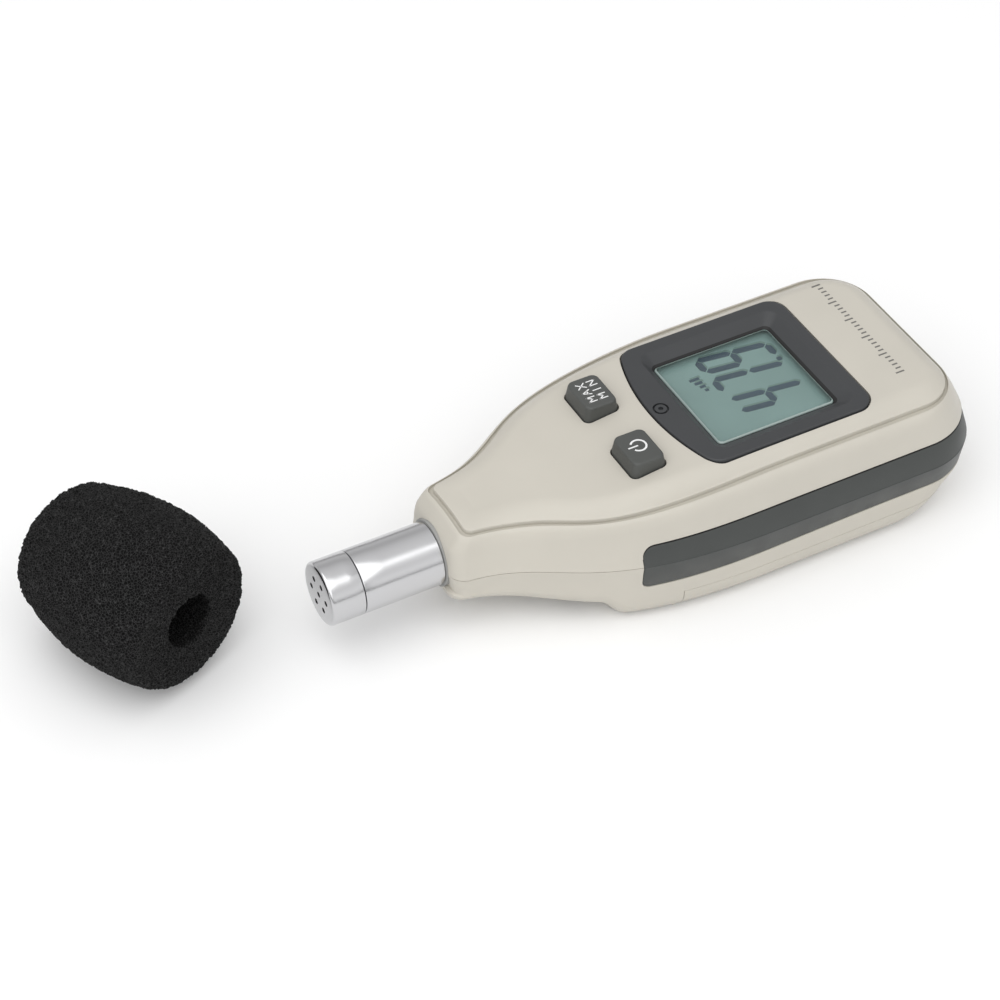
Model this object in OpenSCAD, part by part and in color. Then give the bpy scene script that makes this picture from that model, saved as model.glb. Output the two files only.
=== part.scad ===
// Hand-held sound level meter with a loose foam windscreen.
// Frame: the meter lies on its back on z = 0, +Y runs to the microphone,
// +Z out of the display, x = 0 is the plane of symmetry and y = 0 the middle of
// the rest pad. Inside this file lengths are counted from the bottom end, and
// placed() moves each sub-part into the frame.

/* [Case] */
// Width of the case across the parting line
body_w = 57; // [54:0.5:60]
// Length of the moulded case, bottom end to neck face
case_l = 123; // [121:1:126]
// Height of the front face above the table
crown_h = 32.9; // [32:0.1:34]
// Height of the parting line and of the microphone axis
axis_h = 16.2; // [15:0.1:17]
// Wall thickness of the mouldings
wall = 2.4; // [2:0.1:2.8]
// Depth that the side grip is let into the case
grip_t = 1.2; // [0.8:0.1:1.4]

/* [Microphone] */
// Length of the whole meter, bottom end to microphone tip
overall_l = 149; // [146:1:152]
// Diameter of the microphone tube
mic_d = 14; // [13:0.5:15]
// Length of the screwed grille cap
mic_cap_l = 7.5; // [6:0.5:9]
// Diameter of one sound hole in the cap
sound_hole_d = 1.3; // [1:0.1:1.5]
// Pitch circle radius of the outer six sound holes
sound_hole_r = 3.45; // [3:0.05:4]

/* [Display] */
// Width of the clear display opening
view_w = 27.7; // [26:0.1:29]
// Length of the clear display opening
view_l = 28.9; // [27:0.1:30]
// Distance from the bottom end to the middle of the display
view_y = 47.7; // [46:0.1:49]
// Width of the dark display bezel
bezel_w = 40; // [38:0.5:41]

/* [Keys] */
// Distance of each key's middle from the plane of symmetry
key_x = 9.8; // [9:0.1:11]
// Distance of the keys' middles from the bottom end
key_y = 79.5; // [78:0.5:82]
// Width of a key at its foot
key_w = 10.2; // [9:0.1:11]
// Length of a key at its foot
key_l = 8; // [7:0.1:9]
// Height of the keys' tops above the table
key_top = 35.2; // [34:0.1:36]
// Travel of a key
key_travel = 0.8; // [0.4:0.1:0.9]

/* [Battery bay] */
// Length of the battery cover, from the bottom end
cover_l = 77; // [74:1:80]
// Height of the seam between rear shell and battery cover
seam_h = 6.2; // [5.5:0.1:6.5]
// Diameter of one AAA cell
cell_d = 10.4; // [10:0.1:10.5]
// Length of one AAA cell without its button
cell_l = 43.6; // [43:0.1:44]
// Spacing of the three cells
cell_pitch = 11.3; // [11:0.1:11.5]

/* [Windscreen] */
// Largest diameter of the foam windscreen
screen_d = 37.4; // [35:0.2:40]
// Length of the foam windscreen
screen_l = 38; // [35:0.5:42]
// Diameter of its socket, before it stretches over the tube
socket_d = 12.6; // [11:0.2:13.6]
// Depth of its socket
socket_l = 24; // [18:1:27]
// Where the loose windscreen lies, across the meter
screen_x = 20.4; // [18:0.1:40]
// Where the loose windscreen lies, along the meter
screen_y = 183; // [182:0.5:200]
// Turn of its axis from +X, socket end to closed end
screen_turn = 22; // [0:1:40]

/* [Hidden] */
$fn = 48;
eps = 0.01;
// The rest pad's middle, from the bottom end
rest_y = 47.5;
module placed() translate([0, -rest_y, 0]) children();

// ---- outline family -------------------------------------------------------
// An outline is [half width, end inset, corner radius, first handle y,
// second handle half width, second handle y, neck half width, neck y,
// neck corner radius]. The side runs straight to taper_y, then on one Bezier
// curve to the neck.
taper_y = 56;
side_line = [body_w / 2, 0, 16.2, 100.5, 14, 100, 11.3, case_l, 3.8];
face_line = [body_w / 2 - 5.5, 7.3, 9, 106, 12.2, 92, 7.9, case_l - 4.3, 1.8];
flat_line = [body_w / 2 - 10, 11.8, 5, 106, 8, 90, 3.4, case_l - 8.5, 1];

corner_n = 5;
neck_n = 2;
// Bezier stations; the close pair marks the end of the side grip
stations = [0, 0.08, 0.16, 0.24, 0.31, 0.315, 0.37, 0.42, 0.5, 0.6, 0.7, 0.8, 0.9, 1];
grip_station = 4;

function mix(a, b, f) = a + (b - a) * f;
function bezier(p, t) =
    pow(1 - t, 3) * p[0] + 3 * pow(1 - t, 2) * t * p[1] +
    3 * (1 - t) * t * t * p[2] + pow(t, 3) * p[3];
function inset(v, d) = [
    v[0] - d, v[1] + d, max(v[2] - d, 0.6), v[3], v[4] - d, v[5],
    v[6] - d, v[7] - d, max(v[8] - d, 0.4)
];
// Outline between the side line and the face line: f moves the sides, g the
// neck face and h the bottom end
function between(f, g, h) = [
    for (i = [0:8]) mix(side_line[i], face_line[i], i == 7 ? g : i == 1 ? h : f)
];

function half_outline(v) = concat(
    [[0, v[1]], [(v[0] - v[2]) / 2, v[1]]],
    [for (i = [0:corner_n]) let (a = -90 + 90 * i / corner_n)
        [v[0] - v[2] + v[2] * cos(a), v[1] + v[2] + v[2] * sin(a)]],
    [[v[0], (v[1] + v[2] + taper_y) / 2]],
    [for (t = stations)
        bezier([[v[0], taper_y], [v[0], v[3]], [v[4], v[5]], [v[6], v[7] - v[8]]], t)],
    [for (i = [1:neck_n]) let (a = 90 * i / neck_n)
        [v[6] - v[8] + v[8] * cos(a), v[7] - v[8] + v[8] * sin(a)]],
    [[0, v[7]]]
);
half_n = 2 + corner_n + 1 + 1 + len(stations) + neck_n + 1;
ring_n = 2 * half_n - 2;
grip_end = 2 + corner_n + 1 + 1 + grip_station;

function full_outline(v) = let (h = half_outline(v)) concat(
    h, [for (i = [half_n - 2:-1:1]) [-h[i][0], h[i][1]]]
);
function in_grip(i) = i <= grip_end || i >= ring_n - grip_end;

// Heights of the front face along the meter: its edge lies lower than its
// crown, and both fall towards the microphone
edge_drop = 2.15;
edge_slope = 0.077;
edge_slope_from = 58;
crown_slope = 0.128;
crown_slope_from = 73;
function face_edge_z(y) = crown_h - edge_drop - edge_slope * max(0, y - edge_slope_from);
function face_crown_z(y) = crown_h - crown_slope * max(0, y - crown_slope_from);
// Over the microphone the face's edge rises in an arch
arch_h = 1.4;
arch_from = 100;
arch_l = 19;
arch_w = 11;
function face_edge_at(p) =
    let (t = min(max((p[1] - arch_from) / arch_l, 0), 1))
    face_edge_z(p[1]) + arch_h * t * t * (3 - 2 * t) * max(0, 1 - pow(p[0] / arch_w, 2));
// Underside: a pad holds the battery bay, and the neck's back is higher
pad_end = 89;
pad_ramp = 4;
pad_h = 3.6;
neck_slope = 0.085;
function back_z(y) =
    y <= pad_end ? 0 :
    y >= pad_end + pad_ramp ? pad_h + neck_slope * (y - pad_end - pad_ramp) :
    pad_h * (y - pad_end) / pad_ramp;
// Edges of the side band that the grip fills; both come closer to the split
// line, or follow it down, where the case gets thinner
band_up = 5.85;
band_down = 5.4;
band_slope = 0.022;
band_slope_from = 32;
band_over_back = 5.6;
function band_top(y) =
    axis_h + band_up * (face_edge_z(y) - axis_h) / (face_edge_z(0) - axis_h);
function band_low(y) = max(
    axis_h - band_down - band_slope * max(0, y - band_slope_from), back_z(y) + band_over_back
);
// The bottom end leans in below the band: inset at a height over the back
function tail(lift) = lookup(lift, [
    [0, 9.5], [0.67, 8.8], [2.5, 7], [5, 4.7], [6.2, 3.7], [10.8, 0]
]);

// ---- lofted solids --------------------------------------------------------
// A row is a ring of 3-D points. rows_solid joins an outer stack of rows, its
// spine, an inner stack and its spine into one closed skin.
function level_row(v, z, sunk = 0) =
    let (a = full_outline(v), b = full_outline(inset(v, sunk)))
    [for (i = [0:ring_n - 1]) let (p = in_grip(i) ? b[i] : a[i]) [p[0], p[1], z]];
// Row along the side band's upper or lower edge, moved up by shift
function band_row(v, up, shift, sunk = 0) =
    let (a = full_outline(v), b = full_outline(inset(v, sunk)))
    [for (i = [0:ring_n - 1]) let (p = in_grip(i) ? b[i] : a[i])
        [p[0], p[1], (up ? band_top(p[1]) : band_low(p[1])) + shift]];
function edge_row(v, drop) =
    [for (p = full_outline(v)) [p[0], p[1], face_edge_at(p) - drop]];
function roll_row(u) =
    let (e = full_outline(face_line), c = full_outline(flat_line))
    [for (i = [0:ring_n - 1]) let (p = mix(e[i], c[i], u))
        [p[0], p[1], mix(face_edge_at(p), face_crown_z(p[1]), 1 - pow(1 - u, 2))]];
function crown_row(drop) =
    [for (p = full_outline(flat_line)) [p[0], p[1], face_crown_z(p[1]) - drop]];
function back_row(v, lift) =
    [for (p = full_outline(v)) [p[0], p[1], back_z(p[1]) + lift]];
// The middle line over or under a row; it stays off the row's two ends
spine_n = half_n - 2;
spine_end = 0.6;
spine_step = 0.5;
function rest_z(y, up) = up ? face_crown_z(y) : back_z(y);
function spine(row, up) =
    let (y0 = row[0][1], y1 = row[half_n - 1][1], lift = row[0][2] - rest_z(y0, up))
    [for (i = [0:spine_n - 1])
        let (low = y0 + spine_end + spine_step * i,
             high = y1 - spine_end - spine_step * (spine_n - 1 - i),
             y = min(max(row[i + 1][1], low), high))
        [0, y, rest_z(y, up) + lift]];

function strip_faces(a, b, n, up) = [
    for (i = [0:n - 1]) let (j = (i + 1) % n)
        each up ? [[a + i, b + i, b + j], [a + i, b + j, a + j]]
                : [[a + i, b + j, b + i], [a + i, a + j, b + j]]
];
// Spine index that faces ring index i
function mid(i) = min(max((i < half_n ? i : ring_n - i) - 1, 0), spine_n - 1);
function cap_faces(a, s, up) = [
    for (i = [0:ring_n - 1]) let (j = (i + 1) % ring_n, p = s + mid(i), q = s + mid(j))
        each p == q ? [up ? [a + i, p, a + j] : [a + i, a + j, p]] :
            up ? [[a + i, p, q], [a + i, q, a + j]]
               : [[a + i, q, p], [a + i, a + j, q]]
];
function stack_faces(first, count, up) = [
    for (k = [0:count - 2]) each strip_faces(first + k * ring_n, first + (k + 1) * ring_n, ring_n, up)
];

module rows_solid(outer, inner, up) {
    no = len(outer);
    ni = len(inner);
    spine_o = no * ring_n;
    first_i = spine_o + spine_n;
    spine_i = first_i + ni * ring_n;
    points = concat(
        [for (r = outer) each r], spine(outer[no - 1], up),
        [for (r = inner) each r], spine(inner[ni - 1], up)
    );
    faces = concat(
        stack_faces(0, no, up),
        cap_faces((no - 1) * ring_n, spine_o, up),
        strip_faces(0, first_i, ring_n, !up),
        stack_faces(first_i, ni, !up),
        cap_faces(first_i + (ni - 1) * ring_n, spine_i, !up)
    );
    polyhedron(points = points, faces = faces, convexity = 6);
}

// ---- small helpers --------------------------------------------------------
module block(x0, x1, y0, y1, z0, z1) {
    translate([x0, y0, z0]) cube([x1 - x0, y1 - y0, z1 - z0]);
}
module rounded(w, l, r, h) {
    linear_extrude(h)
        polygon([for (c = [[1, 1, 0], [-1, 1, 90], [-1, -1, 180], [1, -1, 270]])
            for (i = [0:4]) let (a = c[2] + 90 * i / 4)
                [c[0] * (w / 2 - r) + r * cos(a), c[1] * (l / 2 - r) + r * sin(a)]]);
}
module post(p, z0, z1, r) {
    translate([p[0], p[1], z0]) cylinder(h = z1 - z0, r = r);
}
// Turned part about the microphone axis, from y0 to y1
module along_mic(y0, y1, r) {
    translate([0, y0, axis_h]) rotate([-90, 0, 0]) cylinder(h = y1 - y0, r = r);
}

// Round tube swept along a list of points
function unit(v) = v / norm(v);
module swept(path, r, sides) {
    n = len(path);
    side_dir = [1, 0, 0];
    function tangent(i) = unit(path[min(i + 1, n - 1)] - path[max(i - 1, 0)]);
    function ring(i) =
        let (t = tangent(i),
             ref = abs(t * side_dir) > 0.9 ? [0, 1, 0] : side_dir,
             u = unit(cross(t, ref)), w = cross(t, u))
        [for (k = [0:sides - 1]) let (a = 360 * k / sides)
            path[i] + r * (cos(a) * u + sin(a) * w)];
    points = [for (i = [0:n - 1]) each ring(i)];
    faces = concat(
        [[for (k = [0:sides - 1]) k]],
        [for (i = [0:n - 2]) for (k = [0:sides - 1])
            let (m = (k + 1) % sides, a = i * sides, b = (i + 1) * sides)
            each [[a + k, b + m, a + m], [a + k, b + k, b + m]]],
        [[for (k = [sides - 1:-1:0]) (n - 1) * sides + k]]
    );
    polyhedron(points = points, faces = faces, convexity = 4);
}

// ---- fastening layout -----------------------------------------------------
neck_screws = [[12.5, 96], [-12.5, 96]];
end_screws = [[19.5, 11.5], [-19.5, 11.5]];
// Solid block round the microphone tube, behind the neck face
neck_block_y = case_l - 8.6;
neck_block_end = case_l - 2.5;
screw_r = 1.1;
head_r = 2.2;
board_screw_at = [[15.5, 23], [-15.5, 23], [14.5, 88], [-14.5, 88]];
board_z = 22.4;
board_t = 1.6;
board_top = board_z + board_t;
bay_top = 13;
bay_wall = 1.4;
bay_w = 3 * cell_pitch + 2.6;
bay_y0 = 18;
bay_y1 = 69.5;
// Where the battery leads leave the bay
lead_x = 14.9;
lead_z = 11.4;
lead_hole = 1.8;
cell_z = 7.2;
cell_y0 = 22.2;
// The cover's two tongues pass outside the battery bay
tongue_x = 20.9;
tongue_w = 1.8;
tongue_z = 4.5;
tongue_t = 1.1;
tongue_play = 0.25;
// Ledge that the cover meets, and wall behind the cover's open end
ledge_t = 1.5;
end_wall = 1.6;
rear_inset = 0.8;
lens_z = 30.9;
// Radii of the screw pillars, and play round the screws
pillar_r = 2.9;
rear_pillar_r = 3.4;
thread_play = 0.05;
shank_play = 0.2;
head_play = 0.3;
// Height of the rear pillars' counterbores at the neck and at the bottom end
neck_seat = 8;
end_seat = 9.5;
// Underside and thickness of the flared foot that each key stands on
foot_z = 27.4;
foot_t = 0.7;
// Height of the tact switches' inner floor over the board
switch_floor = 0.5;
// The microphone barrel steps down to seat_d where the case holds it
seat_d = mic_d - 0.8;
barrel_y = case_l + 0.35;
flange_d = mic_d + 1.4;
flange_y = case_l - 6.1;
flange_t = 2;
gasket_d = mic_d + 1;
gasket_y = case_l - 0.65;

// ---- mouldings ------------------------------------------------------------
band_top_line = between(0.28, 0.02, 0.28);
band_low_line = inset(side_line, rear_inset);
// Outline of the back, d inside the side line at a height over the back; its
// neck narrows faster, so that the underside rounds over
function rear_line(d, lift) =
    let (v = inset(side_line, d),
         squeeze = lookup(lift, [[0, 1.2], [0.67, 1.8], [2.5, 1.2], [5, 0]]))
    [v[0], v[1] + tail(lift), v[2], v[3], v[4] - squeeze / 2, v[5],
     v[6] - squeeze, case_l - max(0, d - rear_inset) * 0.9, max(3.8 - 0.35 * d, 1)];

// Bore that both shells share: barrel seat, gasket pocket and flange groove
module mic_seat() {
    fit = 0.04;
    slack = 0.1;
    along_mic(100, case_l + 2, seat_d / 2 + fit);
    along_mic(gasket_y - 0.05, case_l + 2, gasket_d / 2 + fit);
    along_mic(flange_y - slack, flange_y + flange_t + slack, flange_d / 2 + slack);
}

module front_shell() {
    outer = [
        level_row(side_line, axis_h, grip_t),
        band_row(band_top_line, true, -0.04, grip_t),
        band_row(band_top_line, true, 0),
        edge_row(between(0.385, 0.06, 0.56), 4.3),
        edge_row(between(0.42, 0.22, 0.68), 2.9),
        edge_row(between(0.54, 0.5, 0.81), 1.3),
        edge_row(between(0.73, 0.72, 0.88), 0.65),
        edge_row(between(0.96, 0.96, 0.98), 0.5),
        roll_row(0), roll_row(0.33), roll_row(0.67), roll_row(1)
    ];
    inner = [
        level_row(inset(side_line, wall + 0.4), axis_h),
        edge_row(inset(between(0.5, 0.5, 0.75), wall), 4.2),
        edge_row(inset(face_line, 1.2), 2.6),
        crown_row(2.8)
    ];
    placed() color("antiquewhite") difference() {
        union() {
            rows_solid(outer, inner, true);
            for (p = neck_screws) post(p, axis_h, face_edge_z(p[1]) - 0.9, pillar_r);
            for (p = end_screws) post(p, axis_h, 28.8, pillar_r);
            for (p = board_screw_at) post(p, board_top, face_crown_z(p[1]) - 2.4, 2.2);
            block(-8.8, 8.8, neck_block_y, neck_block_end, axis_h, axis_h + 7.8);
        }
        for (p = neck_screws) post(p, axis_h - 1, 22.2, screw_r + thread_play);
        for (p = end_screws) post(p, axis_h - 1, 24.2, screw_r + thread_play);
        for (p = board_screw_at) post(p, board_top - 1, 27.4, 0.85);
        translate([0, 0, 31.3]) linear_extrude(5) bezel_outline(0.12);
        block(-15.7, 15.7, view_y - 16.3, view_y + 16.3, 24, 34);
        for (s = [-1, 1])
            translate([s * key_x, key_y, 24]) rounded(key_w + 0.6, key_l + 0.6, 1.6, 12);
        mic_seat();
    }
}

module rear_shell() {
    outer = [
        level_row(side_line, axis_h, grip_t),
        band_row(band_low_line, false, 0.04, grip_t),
        band_row(band_low_line, false, 0),
        back_row(rear_line(rear_inset, 5), 5),
        back_row(rear_line(1.47, 2.5), 2.5),
        back_row(rear_line(3.3, 0.67), 0.67),
        back_row(rear_line(5.8, 0), 0)
    ];
    inner = [
        level_row(inset(side_line, wall + 0.4), axis_h),
        back_row(inset(rear_line(rear_inset, 5), wall), 5.4),
        back_row(inset(rear_line(5.8, 2.5), 1.2), wall)
    ];
    placed() color("antiquewhite") difference() {
        union() {
            difference() {
                rows_solid(outer, inner, false);
                block(-40, 40, -5, cover_l, -5, seam_h);
            }
            // ledge that the cover's rim meets
            difference() {
                translate([0, 0, seam_h]) linear_extrude(ledge_t)
                    polygon(full_outline(rear_line(2, seam_h)));
                block(-bay_w / 2, bay_w / 2, bay_y0, bay_y1, 0, 20);
                block(-40, 40, cover_l + end_wall, 200, 0, 20);
            }
            // battery tub
            difference() {
                block(-bay_w / 2 - bay_wall, bay_w / 2 + bay_wall, bay_y0 - bay_wall,
                      bay_y1 + bay_wall, 2.9, bay_top + bay_wall);
                block(-bay_w / 2, bay_w / 2, bay_y0, bay_y1, 0, bay_top);
                for (s = [-1, 1])
                    translate([s * lead_x, bay_y0 - 0.5, lead_z])
                        cube([lead_hole, 3, lead_hole], center = true);
            }
            // end wall with a slot for each of the cover's tongues
            difference() {
                block(-24.5, 24.5, cover_l, cover_l + end_wall, 1.2, seam_h + ledge_t);
                for (s = [-1, 1])
                    tongue(s, tongue_play, cover_l - 1, cover_l + 3, tongue_z);
            }
            for (p = neck_screws) post(p, 4.2, axis_h, rear_pillar_r);
            for (p = end_screws) post(p, seam_h, axis_h, rear_pillar_r);
            block(-9.5, 9.5, neck_block_y, neck_block_end, axis_h - 4.7, axis_h);
            block(-7.3, 7.3, neck_block_y, neck_block_end, axis_h - 8.2, axis_h - 4.6);
        }
        for (p = neck_screws) {
            post(p, 2, axis_h + 1, screw_r + shank_play);
            post(p, 2, neck_seat, head_r + head_play);
        }
        for (p = end_screws) {
            post(p, 4, axis_h + 1, screw_r + shank_play);
            post(p, 4, end_seat, head_r + head_play);
        }
        mic_seat();
    }
}

// Tongue on one side of the battery bay, from height z up, wider by grow
module tongue(s, grow, y0, y1, z) {
    x = s * tongue_x;
    half_w = tongue_w / 2 + grow;
    block(x - half_w, x + half_w, y0, y1, z - grow, tongue_z + tongue_t + grow);
}

module battery_cover() {
    gap = 0.15;
    rim = seam_h - gap;
    outer = [
        level_row(rear_line(rear_inset, rim), rim),
        back_row(rear_line(0.82, 5), 5),
        back_row(rear_line(1.47, 2.5), 2.5),
        back_row(rear_line(3.3, 0.67), 0.67),
        back_row(rear_line(5.8, 0), 0)
    ];
    inner = [
        level_row(rear_line(3.2, rim), rim),
        level_row(rear_line(5.2, 3), 3),
        level_row(rear_line(7.4, 1.6), 1.6)
    ];
    placed() color("antiquewhite") {
        intersection() {
            rows_solid(outer, inner, false);
            block(-40, 40, -5, cover_l - gap, -5, seam_h);
        }
        for (s = [-1, 1]) {
            tongue(s, 0, cover_l - 6, cover_l + 3, tongue_z);
            tongue(s, 0, cover_l - 6, cover_l - 1.4, 1.5);
        }
    }
}

module side_grip() {
    // U-shaped band: rows run from its lower edge over the ridge to the upper
    // edge and back along the inner face
    lip = 0.05;
    rows = [
        band_row(band_low_line, false, lip),
        level_row(side_line, axis_h),
        band_row(band_top_line, true, -lip),
        band_row(inset(band_top_line, grip_t - lip), true, -lip),
        level_row(inset(side_line, grip_t - lip), axis_h),
        band_row(inset(band_low_line, grip_t - lip), false, lip)
    ];
    n = 2 * grip_end + 1;
    m = len(rows);
    // columns from one arm's end round the bottom to the other arm's end
    function col(k) = (k - grip_end + ring_n) % ring_n;
    points = [for (k = [0:n - 1]) for (r = rows) r[col(k)]];
    faces = concat(
        [for (k = [0:n - 2]) for (i = [0:m - 1]) let (j = (i + 1) % m)
            each [[k * m + i, (k + 1) * m + j, (k + 1) * m + i],
                  [k * m + i, k * m + j, (k + 1) * m + j]]],
        [[0, 4, 1], [0, 5, 4], [1, 3, 2], [1, 4, 3]],
        [for (t = [[0, 1, 4], [0, 4, 5], [1, 2, 3], [1, 3, 4]])
            [for (i = t) (n - 1) * m + i]]
    );
    placed() color("dimgray") polyhedron(points = points, faces = faces, convexity = 6);
}

// ---- display --------------------------------------------------------------
module bezel_outline(grow) {
    w = bezel_w / 2;
    y0 = 27.1;
    arc_top = 70.8;
    arc_r = 52;
    corner = 4;
    top_y = arc_top - arc_r + sqrt(arc_r * arc_r - pow(w - corner, 2));
    right = concat(
        [for (i = [0:5]) let (a = -90 + 18 * i)
            [w - corner + corner * cos(a), y0 + corner + corner * sin(a)]],
        [for (i = [0:5]) let (a = 14 * i)
            [w - corner + corner * cos(a), top_y - corner + corner * sin(a)]],
        [for (i = [5:-1:0]) let (a = asin((w - corner) / arc_r) * i / 6)
            [arc_r * sin(a), arc_top - arc_r + arc_r * cos(a)]]
    );
    n = len(right);
    offset(delta = grow)
        polygon(concat(right, [for (i = [n - 2:-1:0]) [-right[i][0], right[i][1]]]));
}
module display_bezel() {
    foot = 31.35;
    rim = crown_h + 0.35;
    placed() color("darkslategray") difference() {
        union() {
            translate([0, 0, foot]) linear_extrude(rim - foot) bezel_outline(0);
            translate([0, view_y, lens_z + 0.05]) rounded(31.1, 32.3, 1, foot - lens_z);
        }
        translate([0, view_y, 30]) rounded(view_w, view_l, 1.2, 3);
        hull() {
            translate([0, view_y, lens_z + 0.15]) rounded(view_w, view_l, 1.2, 0.02);
            translate([0, view_y, rim]) rounded(34.6, 34.6, 3, 0.5);
        }
        // small sunk ring beside the display
        translate([0, 68.3, rim - 0.2]) difference() {
            cylinder(h = 1, r = 1.8);
            translate([0, 0, -1]) cylinder(h = 3, r = 1.35);
        }
    }
}
module display_window() {
    // flange under the bezel, and a pad that fills its opening
    placed() color("lightcyan", 0.5) {
        translate([0, view_y, lens_z - 1]) rounded(31, 32.2, 1, 1);
        translate([0, view_y, lens_z - 0.5]) rounded(view_w - 0.3, view_l - 0.3, 1.1, 1);
    }
}
// Two glasses; the lower one is longer and carries the contacts
lcd_z = 27.6;
glass_t = 1.1;
lcd_half_w = 16;
module lcd_panel() {
    y0 = view_y - 16.2;
    placed() color("darkseagreen") {
        block(-lcd_half_w, lcd_half_w, y0, view_y + 17.8, lcd_z, lcd_z + glass_t);
        block(-lcd_half_w, lcd_half_w, y0, view_y + 15.8, lcd_z + glass_t, lcd_z + 2 * glass_t);
    }
}
module lcd_holder() {
    placed() color("white") difference() {
        block(-17.6, 17.6, view_y - 18, view_y + 19.6, board_top, 29.6);
        block(-16.1, 16.1, view_y - 16.3, view_y + 17.9, lcd_z - 0.1, 30);
        block(-14.2, 14.2, view_y - 14.5, view_y + 14.5, board_top - 1, 30);
        block(-15.1, 15.1, view_y + 15.4, view_y + 17.8, board_top - 1, 30);
    }
}
module zebra_strip() {
    placed() color("lightpink") block(-15, 15, view_y + 15.6, view_y + 17.6, board_top, lcd_z);
}

// ---- electronics ----------------------------------------------------------
module circuit_board() {
    placed() color("darkgreen") difference() {
        translate([0, 0, board_z]) linear_extrude(board_t)
            polygon([[-18.4, 19], [18.4, 19], [18.4, 80], [16.4, 92], [-16.4, 92], [-18.4, 80]]);
        for (p = board_screw_at) post(p, board_z - 1, board_top + 1, 1.15);
    }
}
module on_back(x, y, w, l, h) {
    block(x - w / 2, x + w / 2, y - l / 2, y + l / 2, board_z - h, board_z);
}
module controller_chip() {
    placed() color("black") {
        on_back(0, 50, 12, 12, 1.6);
        for (i = [-5:5]) for (s = [-1, 1]) {
            on_back(s * 6.6, 50 + i, 1.2, 0.4, 0.25);
            on_back(i, 50 + s * 6.6, 0.4, 1.2, 0.25);
        }
    }
}
module amplifier_chip() {
    placed() color("black") {
        on_back(0, 80, 5, 4, 1.6);
        for (i = [-1.5:1:1.5]) for (s = [-1, 1]) on_back(i * 1.27, 80 + s * 2.5, 0.45, 1, 0.25);
    }
}
module clock_crystal() {
    placed() color("silver") translate([-12, 52, board_z - 1.6])
        rotate([-90, 0, 0]) cylinder(h = 8, r = 1.55);
}
module capacitors() {
    placed() color("midnightblue") {
        post([12, 62], board_z - 7, board_z, 3);
        post([12, 70], board_z - 7, board_z, 2.5);
        for (y = [72:4:84]) on_back(-8, y, 2, 1.25, 1.2);
    }
}
module resistors() {
    placed() color("dimgray") for (x = [-14:3:-8]) for (y = [34:4:42]) on_back(x, y, 2, 1.2, 0.6);
}
module gain_trimmer() {
    placed() color("royalblue") difference() {
        on_back(9.6, 81, 6.5, 6.5, 5);
        post([9.6, 81], board_z - 6, board_z - 4.2, 2.2);
    }
}
module key_switches() {
    placed() color("dimgray") for (s = [-1, 1]) translate([s * key_x, key_y, board_top]) difference() {
        translate([-3, -3, 0]) cube([6, 6, 2.4]);
        translate([0, 0, switch_floor]) cylinder(h = 3, r = 1.8);
    }
}
module key(s) {
    // flared foot under the shell, then a bevelled cap through it
    placed() color("dimgray") translate([s * key_x, key_y, 0]) {
        translate([0, 0, foot_z]) rounded(key_w + 1.4, key_l + 1.2, 1.8, foot_t);
        translate([0, 0, foot_z + foot_t]) rounded(key_w, key_l, 1.4, 32.6 - foot_z - foot_t);
        hull() {
            translate([0, 0, 32.55]) rounded(key_w, key_l, 1.4, 0.05);
            translate([0, 0, key_top - 0.3]) rounded(key_w - 0.3, key_l - 0.8, 1.5, 0.05);
            translate([0, 0, key_top - 0.05]) rounded(key_w - 0.9, key_l - 1.4, 1.5, 0.05);
        }
    }
}
module maxmin_key() key(1);
module power_key() key(-1);
module plunger(s) {
    // the travel and a little more is left under it
    low = board_top + switch_floor + key_travel + 0.3;
    placed() color("black") post([s * key_x, key_y], low, foot_z, 1.7);
}
module maxmin_plunger() plunger(1);
module power_plunger() plunger(-1);

// ---- microphone -----------------------------------------------------------
cap_y = overall_l - mic_cap_l;
module mic_tube() {
    placed() color("silver") difference() {
        union() {
            along_mic(case_l - 13, barrel_y + 1, seat_d / 2);
            along_mic(barrel_y, cap_y - 0.15, mic_d / 2);
            along_mic(flange_y, flange_y + flange_t, flange_d / 2);
        }
        along_mic(0, cap_y + 1, mic_d / 2 - 1);
    }
}
module mic_cap() {
    placed() color("silver") difference() {
        union() {
            along_mic(cap_y, overall_l, mic_d / 2);
            along_mic(cap_y - 3.5, cap_y + 1, mic_d / 2 - 1.05);
        }
        along_mic(0, overall_l - 1.1, mic_d / 2 - 1.75);
        along_mic(0, overall_l + 1, sound_hole_d / 2);
        for (k = [0:5]) let (a = 54 + 60 * k)
            translate([sound_hole_r * cos(a), 0, sound_hole_r * sin(a)])
                along_mic(0, overall_l + 1, sound_hole_d / 2);
    }
}
module mic_gasket() {
    placed() color("darkgray") difference() {
        along_mic(gasket_y, case_l + 0.2, gasket_d / 2);
        along_mic(0, case_l + 5, seat_d / 2 + 0.02);
    }
}
module mic_capsule() {
    placed() color("lightgray") difference() {
        along_mic(overall_l - 7.2, overall_l - 1.5, 4.8);
        along_mic(overall_l - 1.9, overall_l, 3.6);
    }
}
module capsule_sleeve() {
    placed() color("black") difference() {
        along_mic(overall_l - 9.5, overall_l - 1.9, 5.2);
        along_mic(0, overall_l, 4.84);
    }
}
// Two thin leads from the capsule's back to the board
mic_lead_route = [
    [1.3, 141.8, 16.2], [1.3, 136, 16], [1.6, 128, 15], [1.8, 118, 15],
    [2.2, 108, 17], [2.6, 100, 19.5], [2.8, 94, 21], [3, 90, 21.6], [3, 88, 21.9]
];
module mic_leads() {
    placed() color("firebrick") swept(mic_lead_route, 0.5, 8);
    placed() color("white") swept([for (p = mic_lead_route) [-p[0], p[1], p[2]]], 0.5, 8);
}

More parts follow.
